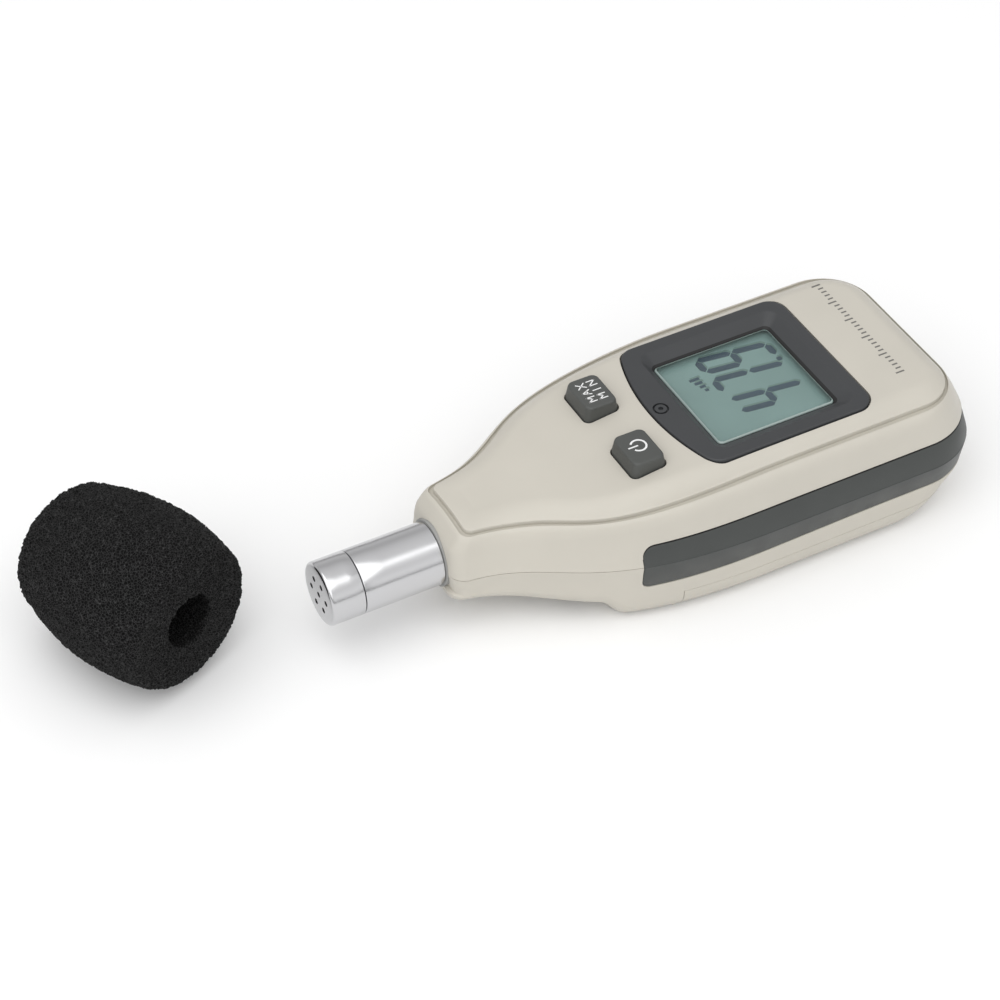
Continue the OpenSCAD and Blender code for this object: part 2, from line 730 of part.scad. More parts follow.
// ---- batteries ------------------------------------------------------------
module cell(i, flip) {
    placed() color("steelblue") translate([(i - 2) * cell_pitch, cell_y0 + cell_l / 2, cell_z])
        rotate([0, 0, flip ? 180 : 0]) rotate([-90, 0, 0]) {
            translate([0, 0, -cell_l / 2]) cylinder(h = cell_l, r = cell_d / 2);
            cylinder(h = cell_l / 2 + 0.8, r = 1.9);
        }
}
module battery_1() cell(1, false);
module battery_2() cell(2, true);
module battery_3() cell(3, false);
// Contact end of each cell: true where the button points to the bottom end
function button_down(i) = i == 2;
module battery_springs() {
    turns = 3;
    steps = 9;
    wire_r = 0.35;
    start = 0.45;
    placed() color("silver") for (i = [1:3]) {
        wall_y = button_down(i) ? bay_y1 - 0.6 : bay_y0 + 0.6;
        cell_y = button_down(i) ? cell_y0 + cell_l : cell_y0;
        dir = button_down(i) ? -1 : 1;
        len_y = abs(cell_y - wall_y) - 0.5;
        translate([(i - 2) * cell_pitch, wall_y, cell_z])
            swept([for (k = [0:turns * steps])
                let (f = k / (turns * steps), a = 360 * k / steps, r = mix(4, 2.6, f))
                [r * cos(a), dir * (start + f * (len_y - start)), r * sin(a)]], wire_r, 6);
    }
}
module battery_plates() {
    plate_t = 0.6;
    half_w = 4.6;
    placed() color("gainsboro") {
        for (i = [1:3]) {
            wall_y = button_down(i) ? bay_y1 : bay_y0;
            dir = button_down(i) ? -1 : 1;
            x = (i - 2) * cell_pitch;
            block(x - half_w, x + half_w, min(wall_y, wall_y + dir * plate_t),
                  max(wall_y, wall_y + dir * plate_t), 2.8, 12);
            far_y = button_down(i) ? bay_y0 : bay_y1;
            end_y = button_down(i) ? cell_y0 - 0.8 : cell_y0 + cell_l + 0.8;
            block(x - half_w, x + half_w, min(far_y, far_y - dir * plate_t),
                  max(far_y, far_y - dir * plate_t), 2.8, 12);
            block(x - 1.6, x + 1.6, min(far_y, end_y), max(far_y, end_y), cell_z - 1.6, cell_z + 1.6);
        }
    }
}
// Leads from the bay's two end contacts up to the board
battery_lead_route = [
    [lead_x, bay_y0, lead_z], [lead_x, 15, 11.5], [14.8, 13.7, 13], [14.4, 13.6, 16],
    [13.6, 15, 19], [12.4, 18.5, 20.6], [11.4, 23, 21.3], [11, 26, 21.8]
];
module battery_leads() {
    placed() color("firebrick") swept(battery_lead_route, 0.6, 8);
    placed() color("black") swept([for (p = battery_lead_route) [-p[0], p[1], p[2]]], 0.6, 8);
}

// ---- fasteners ------------------------------------------------------------
module screw(p, seat, tip) {
    difference() {
        union() {
            post(p, seat - 1.7, seat, head_r);
            post(p, seat - eps, tip, screw_r);
        }
        translate([p[0], p[1], seat - 1.8]) {
            translate([-1.6, -0.3, 0]) cube([3.2, 0.6, 1]);
            translate([-0.3, -1.6, 0]) cube([0.6, 3.2, 1]);
        }
    }
}
module case_screws() {
    placed() color("silver") {
        for (p = neck_screws) screw(p, neck_seat, 22);
        for (p = end_screws) screw(p, end_seat, 24);
    }
}
module board_screws() {
    placed() color("silver") for (p = board_screw_at) {
        post(p, board_z - 1.2, board_z, 1.8);
        post(p, board_z - eps, 27.2, 0.8);
    }
}

// ---- windscreen -----------------------------------------------------------
module windscreen() {
    r = screen_d / 2;
    open_r = r - 2;
    closed_r = r - 3.4;
    round_open = 2.4;
    round_closed = 5;
    // barrel: a quadratic through the open, middle and closed radii
    function barrel(t) = let (h = 2 * r - (open_r + closed_r) / 2)
        open_r * pow(1 - t, 2) + 2 * h * t * (1 - t) + closed_r * t * t;
    profile = concat(
        [[socket_d / 2, socket_l], [socket_d / 2, 0.8], [socket_d / 2 + 0.8, 0]],
        [for (i = [0:3]) let (a = -90 + 30 * i)
            [open_r - round_open + round_open * cos(a), round_open + round_open * sin(a)]],
        [for (i = [1:9]) let (t = i / 10) [barrel(t), mix(round_open, screen_l - round_closed, t)]],
        [for (i = [0:4]) let (a = 22.5 * i)
            [closed_r - round_closed + round_closed * cos(a),
             screen_l - round_closed + round_closed * sin(a)]],
        [[0, screen_l], [0, socket_l]]
    );
    placed() color("black") translate([screen_x, screen_y, r])
        rotate([0, 0, screen_turn - 90]) rotate([-90, 0, 0]) translate([0, 0, -screen_l / 2])
            rotate_extrude($fn = 64) polygon(profile);
}

front_shell();
rear_shell();
side_grip();
display_bezel();
display_window();
lcd_panel();
lcd_holder();
zebra_strip();
circuit_board();
controller_chip();
amplifier_chip();
clock_crystal();
capacitors();
resistors();
gain_trimmer();
key_switches();
maxmin_key();
power_key();
maxmin_plunger();
power_plunger();
mic_tube();
mic_cap();
mic_gasket();
mic_capsule();
capsule_sleeve();
mic_leads();
battery_1();
battery_2();
battery_3();
battery_springs();
battery_plates();
battery_leads();
battery_cover();
case_screws();
board_screws();
windscreen();
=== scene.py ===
import math
import random

import bmesh
import bpy
import numpy as np
from mathutils import Matrix, Vector, kdtree


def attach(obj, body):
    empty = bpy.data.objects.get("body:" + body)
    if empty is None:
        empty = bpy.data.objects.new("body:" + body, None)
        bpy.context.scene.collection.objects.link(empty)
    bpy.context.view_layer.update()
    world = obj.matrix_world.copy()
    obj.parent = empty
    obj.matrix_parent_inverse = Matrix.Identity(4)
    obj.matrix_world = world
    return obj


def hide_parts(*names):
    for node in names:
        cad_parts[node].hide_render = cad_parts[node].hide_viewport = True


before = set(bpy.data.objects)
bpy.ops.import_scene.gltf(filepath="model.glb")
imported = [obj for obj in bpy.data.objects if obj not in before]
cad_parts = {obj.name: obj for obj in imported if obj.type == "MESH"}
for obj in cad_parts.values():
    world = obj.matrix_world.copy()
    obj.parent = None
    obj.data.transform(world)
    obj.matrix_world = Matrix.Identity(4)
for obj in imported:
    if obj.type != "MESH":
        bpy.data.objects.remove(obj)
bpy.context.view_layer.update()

# Lengths below are millimetres counted from the meter's bottom end, as in the
# part's own source; REST_Y moves them to the frame and MM to metres.
MM = 0.001
REST_Y = 47.5
AXIS = 16.2  # height of the microphone's axis and of the mouldings' split

scene = bpy.context.scene
scene.view_settings.view_transform = "Standard"

# ---------------------------------------------------------------- materials
NOISE_LOW, NOISE_HIGH = 0.3, 0.7  # span that most of a noise lies in


class Mat:
    """A node material with one Principled shader and small helpers."""

    def __init__(self, name, color, rough=0.5, metal=0.0, **sockets):
        self.m = bpy.data.materials.new(name)
        self.m.use_nodes = True
        self.t = self.m.node_tree
        self.p = self.t.nodes["Principled BSDF"]
        self.p.inputs["Base Color"].default_value = color
        self.p.inputs["Roughness"].default_value = rough
        self.p.inputs["Metallic"].default_value = metal
        for k, v in sockets.items():
            self.p.inputs[k.replace("_", " ")].default_value = v
        self.color = color
        self.rough = rough
        self.co = self.t.nodes.new("ShaderNodeTexCoord").outputs["Object"]

    def node(self, kind, **values):
        n = self.t.nodes.new(kind)
        for k, v in values.items():
            if k in n.inputs:
                n.inputs[k].default_value = v
            else:
                setattr(n, k, v)
        return n

    def link(self, a, b):
        self.t.links.new(a, b)

    def noise(self, scale, detail=4.0, rough=0.5, stretch=None):
        n = self.node("ShaderNodeTexNoise", Scale=scale, Detail=detail, Roughness=rough)
        co = self.co
        if stretch:
            mp = self.node("ShaderNodeMapping")
            mp.inputs["Scale"].default_value = stretch
            self.link(co, mp.inputs["Vector"])
            co = mp.outputs["Vector"]
        self.link(co, n.inputs["Vector"])
        return n.outputs["Fac"]

    def ramp(self, fac, stops):
        n = self.node("ShaderNodeValToRGB")
        e = n.color_ramp.elements
        while len(e) < len(stops):
            e.new(0.5)
        for el, (pos, col) in zip(e, stops):
            el.position = pos
            el.color = col if len(col) == 4 else (*col, 1)
        self.link(fac, n.inputs["Fac"])
        return n.outputs["Color"]

    def vary(self, fac, amount):
        """Base colour scaled by 1 -/+ amount over fac."""
        c = self.color
        self.link(self.ramp(fac, [
            (NOISE_LOW, tuple(x * (1 - amount) for x in c[:3])),
            (NOISE_HIGH, tuple(min(1, x * (1 + amount)) for x in c[:3]))]),
            self.p.inputs["Base Color"])

    def vary_rough(self, fac, amount):
        r = self.rough
        n = self.node("ShaderNodeMapRange")
        n.inputs["To Min"].default_value = max(0, r - amount)
        n.inputs["To Max"].default_value = min(1, r + amount)
        n.inputs["From Min"].default_value = NOISE_LOW
        n.inputs["From Max"].default_value = NOISE_HIGH
        self.link(fac, n.inputs["Value"])
        self.link(n.outputs["Result"], self.p.inputs["Roughness"])

    def bump(self, fac, strength, dist):
        n = self.node("ShaderNodeBump", Strength=strength, Distance=dist)
        self.link(fac, n.inputs["Height"])
        self.link(n.outputs["Normal"], self.p.inputs["Normal"])


def moulded(name, color, rough=0.45, grain=9000, depth=0.25, tone=0.03, **k):
    """Injection-moulded plastic: fine spark grain, uneven gloss, faint tone."""
    m = Mat(name, color, rough, **k)
    m.vary(m.noise(60, 3), tone)
    m.vary_rough(m.noise(180, 4), 0.06)
    m.bump(m.noise(grain, 2, 0.6), depth, 0.00003)
    return m.m


case_mat = moulded("case_plastic", (0.53, 0.503, 0.443, 1), 0.42, 7000, 0.35, 0.02,
                   Specular_IOR_Level=0.4)
# the channel's colour: the case's plastic painted darker, as painted shade in the groove
channel_shade_mat = moulded("case_channel_painted_shade", (0.47, 0.445, 0.385, 1), 0.5, 7000, 0.35, 0.05)
grip_mat = moulded("grip_rubber", (0.043, 0.047, 0.045, 1), 0.42, 6000, 0.35, 0.05)
bezel_mat = moulded("bezel_plastic", (0.036, 0.038, 0.041, 1), 0.46, 6500, 0.4, 0.05)
key_mat = moulded("key_rubber", (0.066, 0.069, 0.065, 1), 0.5, 5000, 0.4, 0.05)
white_mat = moulded("white_plastic", (0.75, 0.75, 0.72, 1), 0.5)
black_mat = moulded("black_plastic", (0.02, 0.02, 0.02, 1), 0.5)
# near-black painted shade, put in the grip's gap and at the foot of the display's recess
shade_black_mat = moulded("painted_shade_black", (0.004, 0.004, 0.004, 1), 0.6)
chip_mat = moulded("chip_epoxy", (0.016, 0.016, 0.018, 1), 0.55, 12000, 0.4)
blue_mat = moulded("trimmer_plastic", (0.02, 0.09, 0.35, 1), 0.35)
sleeve_mat = moulded("capacitor_sleeve", (0.015, 0.025, 0.10, 1), 0.25)
gasket_mat = moulded("gasket_rubber", (0.3, 0.3, 0.29, 1), 0.6)
zebra_mat = Mat("connector_rubber", (0.5, 0.25, 0.27, 1), 0.6)
zebra_mat.link(
    zebra_mat.ramp(zebra_mat.noise(4000, 0, 0.5, (1, 0.02, 0.02)),
                   [(0.45, (0.02, 0.02, 0.02)), (0.55, (0.5, 0.3, 0.3))]),
    zebra_mat.p.inputs["Base Color"])
zebra_mat = zebra_mat.m


def metal(name, color, rough, brush=(1, 1, 1)):
    m = Mat(name, color, rough, 1.0)
    m.vary_rough(m.noise(900, 3, 0.6, brush), 0.05)
    m.bump(m.noise(2500, 2, 0.5, brush), 0.05, 0.00002)
    return m.m


chrome_mat = Mat("chrome", (0.57, 0.57, 0.58, 1), 0.2, 1.0)
chrome_mat.vary_rough(chrome_mat.noise(250, 3), 0.02)
chrome_mat.bump(chrome_mat.noise(350, 2), 0.02, 0.00002)
chrome_mat = chrome_mat.m
steel_mat = metal("zinc_steel", (0.55, 0.55, 0.53, 1), 0.3, (1, 1, 8))
can_mat = metal("capsule_can", (0.6, 0.6, 0.6, 1), 0.35)

board_mat = Mat("solder_mask", (0.012, 0.09, 0.035, 1), 0.35)
board_mat.link(
    board_mat.ramp(board_mat.noise(700, 2, 0.5, (1, 0.12, 1)),
                   [(0.47, (0.01, 0.075, 0.03)), (0.5, (0.03, 0.16, 0.06)),
                    (0.53, (0.01, 0.075, 0.03))]),
    board_mat.p.inputs["Base Color"])
board_mat.bump(board_mat.noise(700, 2, 0.5, (1, 0.12, 1)), 0.2, 0.00005)
board_mat = board_mat.m

cell_mat = Mat("cell_label", (0.03, 0.07, 0.22, 1), 0.28, 0.3)
cell_co = cell_mat.node("ShaderNodeSeparateXYZ")
cell_mat.link(cell_mat.co, cell_co.inputs[0])
cell_mat.link(
    cell_mat.ramp(cell_co.outputs["Y"],
                  [(0.0, (0.03, 0.07, 0.22)), (0.013, (0.03, 0.07, 0.22)),
                   (0.0131, (0.6, 0.6, 0.62))]),
    cell_mat.p.inputs["Base Color"])
cell_mat.vary_rough(cell_mat.noise(400, 3), 0.05)
cell_mat = cell_mat.m

wire_mat = Mat("wire_sheath", (0.35, 0.02, 0.015, 1), 0.4)
wire_co = wire_mat.node("ShaderNodeSeparateXYZ")
wire_mat.link(wire_mat.co, wire_co.inputs[0])
wire_mat.link(
    wire_mat.ramp(wire_co.outputs["X"],
                  [(0.0, (0.03, 0.03, 0.03)), (0.0001, (0.38, 0.02, 0.015))]),
    wire_mat.p.inputs["Base Color"])
wire_mat.bump(wire_mat.noise(3000, 2), 0.1, 0.00003)
wire_mat = wire_mat.m

# LCD: reflector seen through the cell, slightly uneven
lcd_mat = Mat("lcd_reflector", (0.245, 0.335, 0.33, 1), 0.45)
lcd_mat.vary(lcd_mat.noise(45, 2), 0.08)
lcd_mat.bump(lcd_mat.noise(9000, 2), 0.15, 0.00002)
lcd_mat = lcd_mat.m
segment_mat = Mat("lcd_segment", (0.045, 0.068, 0.10, 1), 0.4)
segment_mat.vary(segment_mat.noise(120, 2), 0.12)
segment_mat = segment_mat.m
shadow_mat = Mat("lcd_shadow", (0.155, 0.225, 0.21, 1), 0.45)
shadow_mat.vary(shadow_mat.noise(300, 2), 0.08)
shadow_mat.bump(shadow_mat.noise(9000, 2), 0.15, 0.00002)
shadow_mat = shadow_mat.m
ink_dark = moulded("printed_grey", (0.14, 0.135, 0.125, 1), 0.5)
ink_white = moulded("printed_white", (0.8, 0.8, 0.8, 1), 0.5)

# Window: clear acrylic, gloss that grows at grazing angles over plain transparency
window_mat = Mat("clear_acrylic", (0.9, 0.93, 0.92, 1), 0.06)
clear = window_mat.node("ShaderNodeBsdfTransparent", Color=(0.93, 0.96, 0.95, 1))
facing = window_mat.node("ShaderNodeLayerWeight", Blend=0.5)
gloss = window_mat.node("ShaderNodeBsdfGlossy", Roughness=0.05)
window_mat.link(window_mat.ramp(window_mat.noise(300, 2),
                [(0.3, (0.045, 0.045, 0.045)), (0.7, (0.06, 0.06, 0.06))]),
                gloss.inputs["Roughness"])
mixed = window_mat.node("ShaderNodeMixShader")
window_mat.link(window_mat.ramp(facing.outputs["Facing"],
                [(0.0, (0.03, 0.03, 0.03)), (0.5, (0.05, 0.05, 0.05)), (0.8, (0.2, 0.2, 0.2)),
                 (1.0, (0.9, 0.9, 0.9))]), mixed.inputs["Fac"])
window_mat.link(clear.outputs[0], mixed.inputs[1])
window_mat.link(gloss.outputs[0], mixed.inputs[2])
window_mat.link(mixed.outputs[0], window_mat.t.nodes["Material Output"].inputs["Surface"])
window_mat = window_mat.m
# light grey for the window's edges: a painted highlight
edge_highlight_mat = moulded("window_edge_painted_highlight", (0.36, 0.44, 0.42, 1), 0.3)

# Open-cell foam: painted shade darkens the cell pits and a painted highlight lightens the strands
# between them
foam_mat = Mat("foam", (0.01, 0.01, 0.01, 1), 0.8, Specular_IOR_Level=0.2)
vor = foam_mat.node("ShaderNodeTexVoronoi", Scale=1650.0)
vor.feature = "DISTANCE_TO_EDGE"
foam_mat.link(foam_mat.co, vor.inputs["Vector"])
# base colour: painted highlight on the strands, painted shade in the pits
foam_mat.link(foam_mat.ramp(vor.outputs["Distance"],
              [(0.0, (0.05, 0.05, 0.05)), (0.06, (0.01, 0.01, 0.01)),
               (0.18, (0.0003, 0.0003, 0.0003))]), foam_mat.p.inputs["Base Color"])
inv = foam_mat.node("ShaderNodeMath", operation="MULTIPLY")
inv.inputs[1].default_value = -1.0
foam_mat.link(vor.outputs["Distance"], inv.inputs[0])
foam_mat.bump(inv.outputs[0], 1.0, 0.0006)
foam_mat = foam_mat.m

# ---------------------------------------------------------------- mesh tools


def mesh_object(name, verts, faces, mats, body=None, angle=32, replaces=(), slot=None,
                face_mats=None):
    """verts in millimetres from the bottom end; faces of vertex indices."""
    me = bpy.data.meshes.new(name)
    v = np.asarray(verts, float) * MM
    v[:, 1] -= REST_Y * MM
    me.from_pydata(v.tolist(), [], [list(map(int, f)) for f in faces])
    ob = bpy.data.objects.new(name, me)
    scene.collection.objects.link(ob)
    for m in (mats if isinstance(mats, (list, tuple)) else [mats]):
        me.materials.append(m)
    if face_mats is not None:
        me.polygons.foreach_set("material_index", face_mats)
    bm = bmesh.new()
    bm.from_mesh(me)
    bmesh.ops.recalc_face_normals(bm, faces=bm.faces)
    bm.to_mesh(me)
    bm.free()
    shade(ob, angle)
    if body:
        dress(ob, body, replaces)
    return ob


def shade(ob, angle):
    """Smooth shading, sharp where faces meet past the angle."""
    me = ob.data
    me.polygons.foreach_set("use_smooth", [True] * len(me.polygons))
    me.set_sharp_from_angle(angle=math.radians(angle))
    me.update()


def dress(ob, body, replaces=()):
    """Name a piece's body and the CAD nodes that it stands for."""
    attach(ob, body)
    if replaces:
        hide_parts(*replaces)


def loft(rings, close=False):
    """Quads between rings of one length, with end caps, or closed back to the first."""
    n = len(rings[0])
    k = len(rings)
    verts = np.concatenate([np.asarray(r, float) for r in rings])
    faces = []
    for a in range(k if close else k - 1):
        b = (a + 1) % k
        for i in range(n):
            j = (i + 1) % n
            faces.append((a * n + i, a * n + j, b * n + j, b * n + i))
    if not close:
        faces.append(tuple(range(n))[::-1])
        faces.append(tuple((k - 1) * n + i for i in range(n)))
    return verts, faces


def block(x0, x1, y0, y1, z0, z1):
    return loft([[(x0, y0, z), (x1, y0, z), (x1, y1, z), (x0, y1, z)] for z in (z0, z1)])


def post(x, y, z0, z1, r, n=40):
    """Upright cylinder."""
    a = np.linspace(0, 2 * np.pi, n, endpoint=False)
    return loft([np.c_[x + r * np.cos(a), y + r * np.sin(a), np.full(n, z)] for z in (z0, z1)])


def turned(profile, n=96):
    """Closed (r, y) profile turned about the microphone axis."""
    a = np.linspace(0, 2 * np.pi, n, endpoint=False)
    rings = [np.c_[r * np.cos(a), np.full(n, y), AXIS + r * np.sin(a)] for r, y in profile]
    return loft(rings, close=True)


def rod(y0, y1, r, x=0.0, z=AXIS, n=96):
    """Cylinder along Y."""
    a = np.linspace(0, 2 * np.pi, n, endpoint=False)
    return loft([np.c_[x + r * np.cos(a), np.full(n, y), z + r * np.sin(a)] for y in (y0, y1)])


def rounded(w, l, r, cx=0.0, cy=0.0, n=8):
    """Outline of a rectangle with round corners."""
    out = []
    for sx, sy, a0 in ((1, 1, 0), (-1, 1, 90), (-1, -1, 180), (1, -1, 270)):
        for i in range(n + 1):
            a = math.radians(a0 + 90 * i / n)
            out.append((cx + sx * (w / 2 - r) + r * math.cos(a),
                        cy + sy * (l / 2 - r) + r * math.sin(a)))
    return np.array(out)


def at_z(points, z):
    points = np.asarray(points, float)
    return np.c_[points[:, 0], points[:, 1], np.full(len(points), z)]


def prism(points, z0, z1):
    return loft([at_z(points, z0), at_z(points, z1)])


def joined(parts):
    """Several (verts, faces) as one."""
    verts, faces, base = [], [], 0
    for v, f in parts:
        verts.append(np.asarray(v, float))
        faces += [tuple(i + base for i in q) for q in f]
        base += len(v)
    return np.concatenate(verts), faces


def cut(ob, steps, angle=32):
    """Booleans in turn; each step is (operation, (verts, faces))."""
    scrap = []
    for i, (op, part) in enumerate(steps):
        c = mesh_object("cutter", *part, case_mat)
        c.hide_render = True
        scrap.append(c)
        md = ob.modifiers.new("b%d" % i, "BOOLEAN")
        md.operation = op
        md.object = c
        md.solver = "MANIFOLD"
    bpy.context.view_layer.update()
    dg = bpy.context.evaluated_depsgraph_get()
    me = bpy.data.meshes.new_from_object(ob.evaluated_get(dg))
    ob.modifiers.clear()
    old = ob.data
    ob.data = me
    bpy.data.meshes.remove(old)
    for c in scrap:
        d = c.data
        bpy.data.objects.remove(c)
        bpy.data.meshes.remove(d)
    shade(ob, angle)


# ---------------------------------------------------------------- case family
# TAPER_Y: where the sides start to close in; CROWN: top of the face; EDGE_DROP:
# from there to the face's edge; WALL: shell thickness; GRIP: depth of the band's bed
TAPER_Y, CROWN, EDGE_DROP, WALL, GRIP = 56.0, 32.9, 2.15, 2.4, 1.2
# BAND_UP, BAND_DOWN: grip band above and below AXIS; REAR_IN: lean of the lower
# walls; SEAM, COVER_L: height and length of the battery cover's edge
BAND_UP, BAND_DOWN, REAR_IN, SEAM, COVER_L = 5.85, 5.4, 0.8, 6.2, 77.0
# An outline: half width, bottom end, bottom corner, y of the first handle of the
# taper's curve, half width and y of the second, neck's half width, neck's face,
# neck's corner
SIDE = np.array([28.5, 0, 16.2, 100.5, 14, 100, 11.3, 123, 3.8])
FACE = np.array([23, 7.3, 9, 106, 12.2, 92, 7.9, 118.7, 1.8])
FLAT = np.array([18.5, 11.8, 5, 106, 8, 90, 3.4, 114.5, 1])
N_END, N_CORNER, N_SIDE, N_NECK, N_FRONT = 10, 20, 12, 8, 5
# places along the taper's curve, close together at the grip's end
GRIP_END = 0.31
STATIONS = np.r_[np.linspace(0, 0.27, 15), 0.277, 0.283, 0.289, 0.294, 0.298, 0.3015,
                 0.3045, 0.307, 0.3088, GRIP_END, 0.3112, np.linspace(0.325, 1, 39)]
GRIP_COL = N_END + N_CORNER + N_SIDE + int(np.argmin(abs(STATIONS - GRIP_END)))


def inset(v, d):
    """An outline's values moved in by d."""
    w = v.copy()
    w[[0, 4, 6, 7]] -= d
    w[1] += d
    w[2] = max(w[2] - d, 0.6)
    w[8] = max(w[8] - d, 0.4)
    return w


def between(f, g, h):
    """f moves the sides, g the neck face and h the bottom end."""
    w = SIDE + (FACE - SIDE) * f
    w[7] = SIDE[7] + (FACE[7] - SIDE[7]) * g
    w[1] = SIDE[1] + (FACE[1] - SIDE[1]) * h
    return w


def tail(lift):
    """Inset of the bottom end, which leans in towards the back."""
    return np.interp(lift, [0, 0.67, 2.5, 5, 6.2, 10.8], [9.5, 8.8, 7.0, 4.7, 3.7, 0])


def rear_line(d, lift):
    """The back's outline, d inside the sides and lift above the lowest face."""
    w = inset(SIDE, d)
    squeeze = float(np.interp(lift, [0, 0.67, 2.5, 5], [1.2, 1.8, 1.2, 0]))
    w[1] += float(tail(lift))
    w[4] -= squeeze / 2
    w[6] -= squeeze
    w[7] = SIDE[7] - max(0, d - REAR_IN) * 0.9
    w[8] = max(SIDE[8] - 0.35 * d, 1)
    return w


def outline(v):
    """Points of an outline, from the bottom's middle up the right side and back."""
    w, e, r, h1, w2, h2, nw, ny, nr = v
    pts = [(x, e) for x in np.linspace(0, w - r, N_END, endpoint=False)]
    for a in np.radians(np.linspace(-90, 0, N_CORNER, endpoint=False)):
        pts.append((w - r + r * math.cos(a), e + r + r * math.sin(a)))
    pts += [(w, y) for y in np.linspace(e + r, TAPER_Y, N_SIDE, endpoint=False)]
    for t in STATIONS:
        k = ((1 - t) ** 3, 3 * (1 - t) ** 2 * t, 3 * (1 - t) * t * t, t ** 3)
        pts.append((k[0] * w + k[1] * w + k[2] * w2 + k[3] * nw,
                    k[0] * TAPER_Y + k[1] * h1 + k[2] * h2 + k[3] * (ny - nr)))
    for a in np.radians(np.linspace(0, 90, N_NECK + 1)[1:]):
        pts.append((nw - nr + nr * math.cos(a), ny - nr + nr * math.sin(a)))
    pts += [(x, ny) for x in np.linspace(nw - nr, 0, N_FRONT + 1)[1:]]
    half = np.array(pts)
    left = half[-2:0:-1] * (-1, 1)
    return np.r_[half, left]


RING_N = len(outline(SIDE))
HALF_N = RING_N // 2 + 1
COLS = np.arange(RING_N)
IN_GRIP = (COLS <= GRIP_COL) | (COLS >= RING_N - GRIP_COL)


def soft_ramp(y, start, k):
    """max(0, y - start) with a rounded knee."""
    return k * np.logaddexp(0, (y - start) / k)


def edge_z(y):
    """Height of the face's edge."""
    return CROWN - EDGE_DROP - 0.077 * soft_ramp(y, 58, 3.0)


def crown_z(y):
    """Height of the face along its middle."""
    return CROWN - 0.128 * soft_ramp(y, 73, 2.5)


def smooth(t):
    t = np.clip(t, 0, 1)
    return t * t * (3 - 2 * t)


def edge_at(xy):
    """Height of the face's edge with the arch over the microphone."""
    lift = 1.4 * smooth((xy[:, 1] - 100) / 19) * np.maximum(0, 1 - (xy[:, 0] / 11) ** 2)
    return edge_z(xy[:, 1]) + lift


def back_z(y):
    """Height of the back along its middle, raised towards the neck."""
    return 3.6 * smooth((y - 88.6) / 4.8) + 0.085 * soft_ramp(y, 93, 0.6)


def band_top(y):
    return AXIS + BAND_UP * (edge_z(y) - AXIS) / (CROWN - EDGE_DROP - AXIS)


def band_low(y):
    a = AXIS - BAND_DOWN - 0.022 * soft_ramp(y, 32, 3.0)
    return np.maximum(a, back_z(y) + 5.6)


def row(xy, z):
    return np.c_[xy, np.broadcast_to(z, len(xy))]


def spine(last, zf):
    """Middle line that a row closes onto, kept off the row's two ends."""
    h = last[:HALF_N]
    lift = h[0, 2] - zf(h[0, 1])
    k = np.arange(HALF_N)
    y = np.clip(h[:, 1], h[0, 1] + 0.5 + 0.12 * k, h[-1, 1] - 0.5 - 0.12 * k[::-1])
    line = np.c_[np.zeros(HALF_N), y, zf(y) + lift]
    return line[np.minimum(COLS, RING_N - COLS)]


def closing(last, zf, n=7):
    """Rows from the last one to its spine, and the spine itself."""
    s = spine(last, zf)
    lift = last[0, 2] - zf(last[0, 1])
    rows = []
    for u in np.linspace(0, 1, n + 1)[1:-1]:
        p = last + (s - last) * u
        p[:, 2] = zf(p[:, 1]) + lift
        rows.append(p)
    return rows, s[:HALF_N]


def shell(outer, inner, zf):
    """Closed skin from outer rows, their spine, inner rows and their spine."""
    mid = np.minimum(COLS, RING_N - COLS)
    verts, faces = [], []

    def side(rows):
        extra, line = closing(rows[-1], zf)
        rows = rows + extra
        base = sum(len(v) for v in verts)
        verts.extend(rows)
        for a in range(len(rows) - 1):
            for i in range(RING_N):
                j = (i + 1) % RING_N
                faces.append((base + a * RING_N + i, base + a * RING_N + j,
                              base + (a + 1) * RING_N + j, base + (a + 1) * RING_N + i))
        top = base + (len(rows) - 1) * RING_N
        s = base + len(rows) * RING_N
        verts.append(line)
        for i in range(RING_N):
            j = (i + 1) % RING_N
            faces.append((top + i, top + j, s + mid[j], s + mid[i]))
        return base

    a = side(outer)
    b = side(inner)
    for i in range(RING_N):
        j = (i + 1) % RING_N
        faces.append((a + i, b + i, b + j, a + j))
    return np.concatenate(verts), faces


# distance of each column from the grip's end, along the side, and the rounding
# of the grip's end corners
side_xy = outline(SIDE)
steps = np.r_[0, np.cumsum(np.hypot(*np.diff(side_xy[:HALF_N], axis=0).T))]
from_end = steps[GRIP_COL] - steps
from_end = from_end[np.minimum(COLS, RING_N - COLS)]


def end_rounding(r):
    near = np.clip(r - from_end, 0, r)
    return np.where(IN_GRIP, r - np.sqrt(r ** 2 - near ** 2), 0)


BAND_TOP, BAND_LOW = band_top(side_xy[:, 1]), band_low(side_xy[:, 1])
GRIP_TOP = BAND_TOP - end_rounding(3.0)
GRIP_LOW = BAND_LOW + end_rounding(2.0)


def wall_at(z, sunk=0.0):
    """Outline of the side wall at height z (may vary by column), sunk inwards."""
    z = np.broadcast_to(z, RING_N).astype(float)
    up = np.clip((z - AXIS) / (BAND_TOP - AXIS), 0, 1)[:, None]
    down = np.clip((AXIS - z) / (AXIS - BAND_LOW), 0, 1)[:, None]
    mid_xy = outline(inset(SIDE, sunk))
    top_xy = outline(inset(between(0.28, 0.02, 0.28), sunk))
    low_xy = outline(inset(SIDE, REAR_IN + sunk))
    return mid_xy + (top_xy - mid_xy) * up + (low_xy - mid_xy) * down


def grip_mix(sunk, flush):
    """Sunk where the grip band lies, flush elsewhere."""
    return np.where(IN_GRIP[:, None], sunk, flush)


HAIR = 0.15  # rounding of the mouldings' split edges


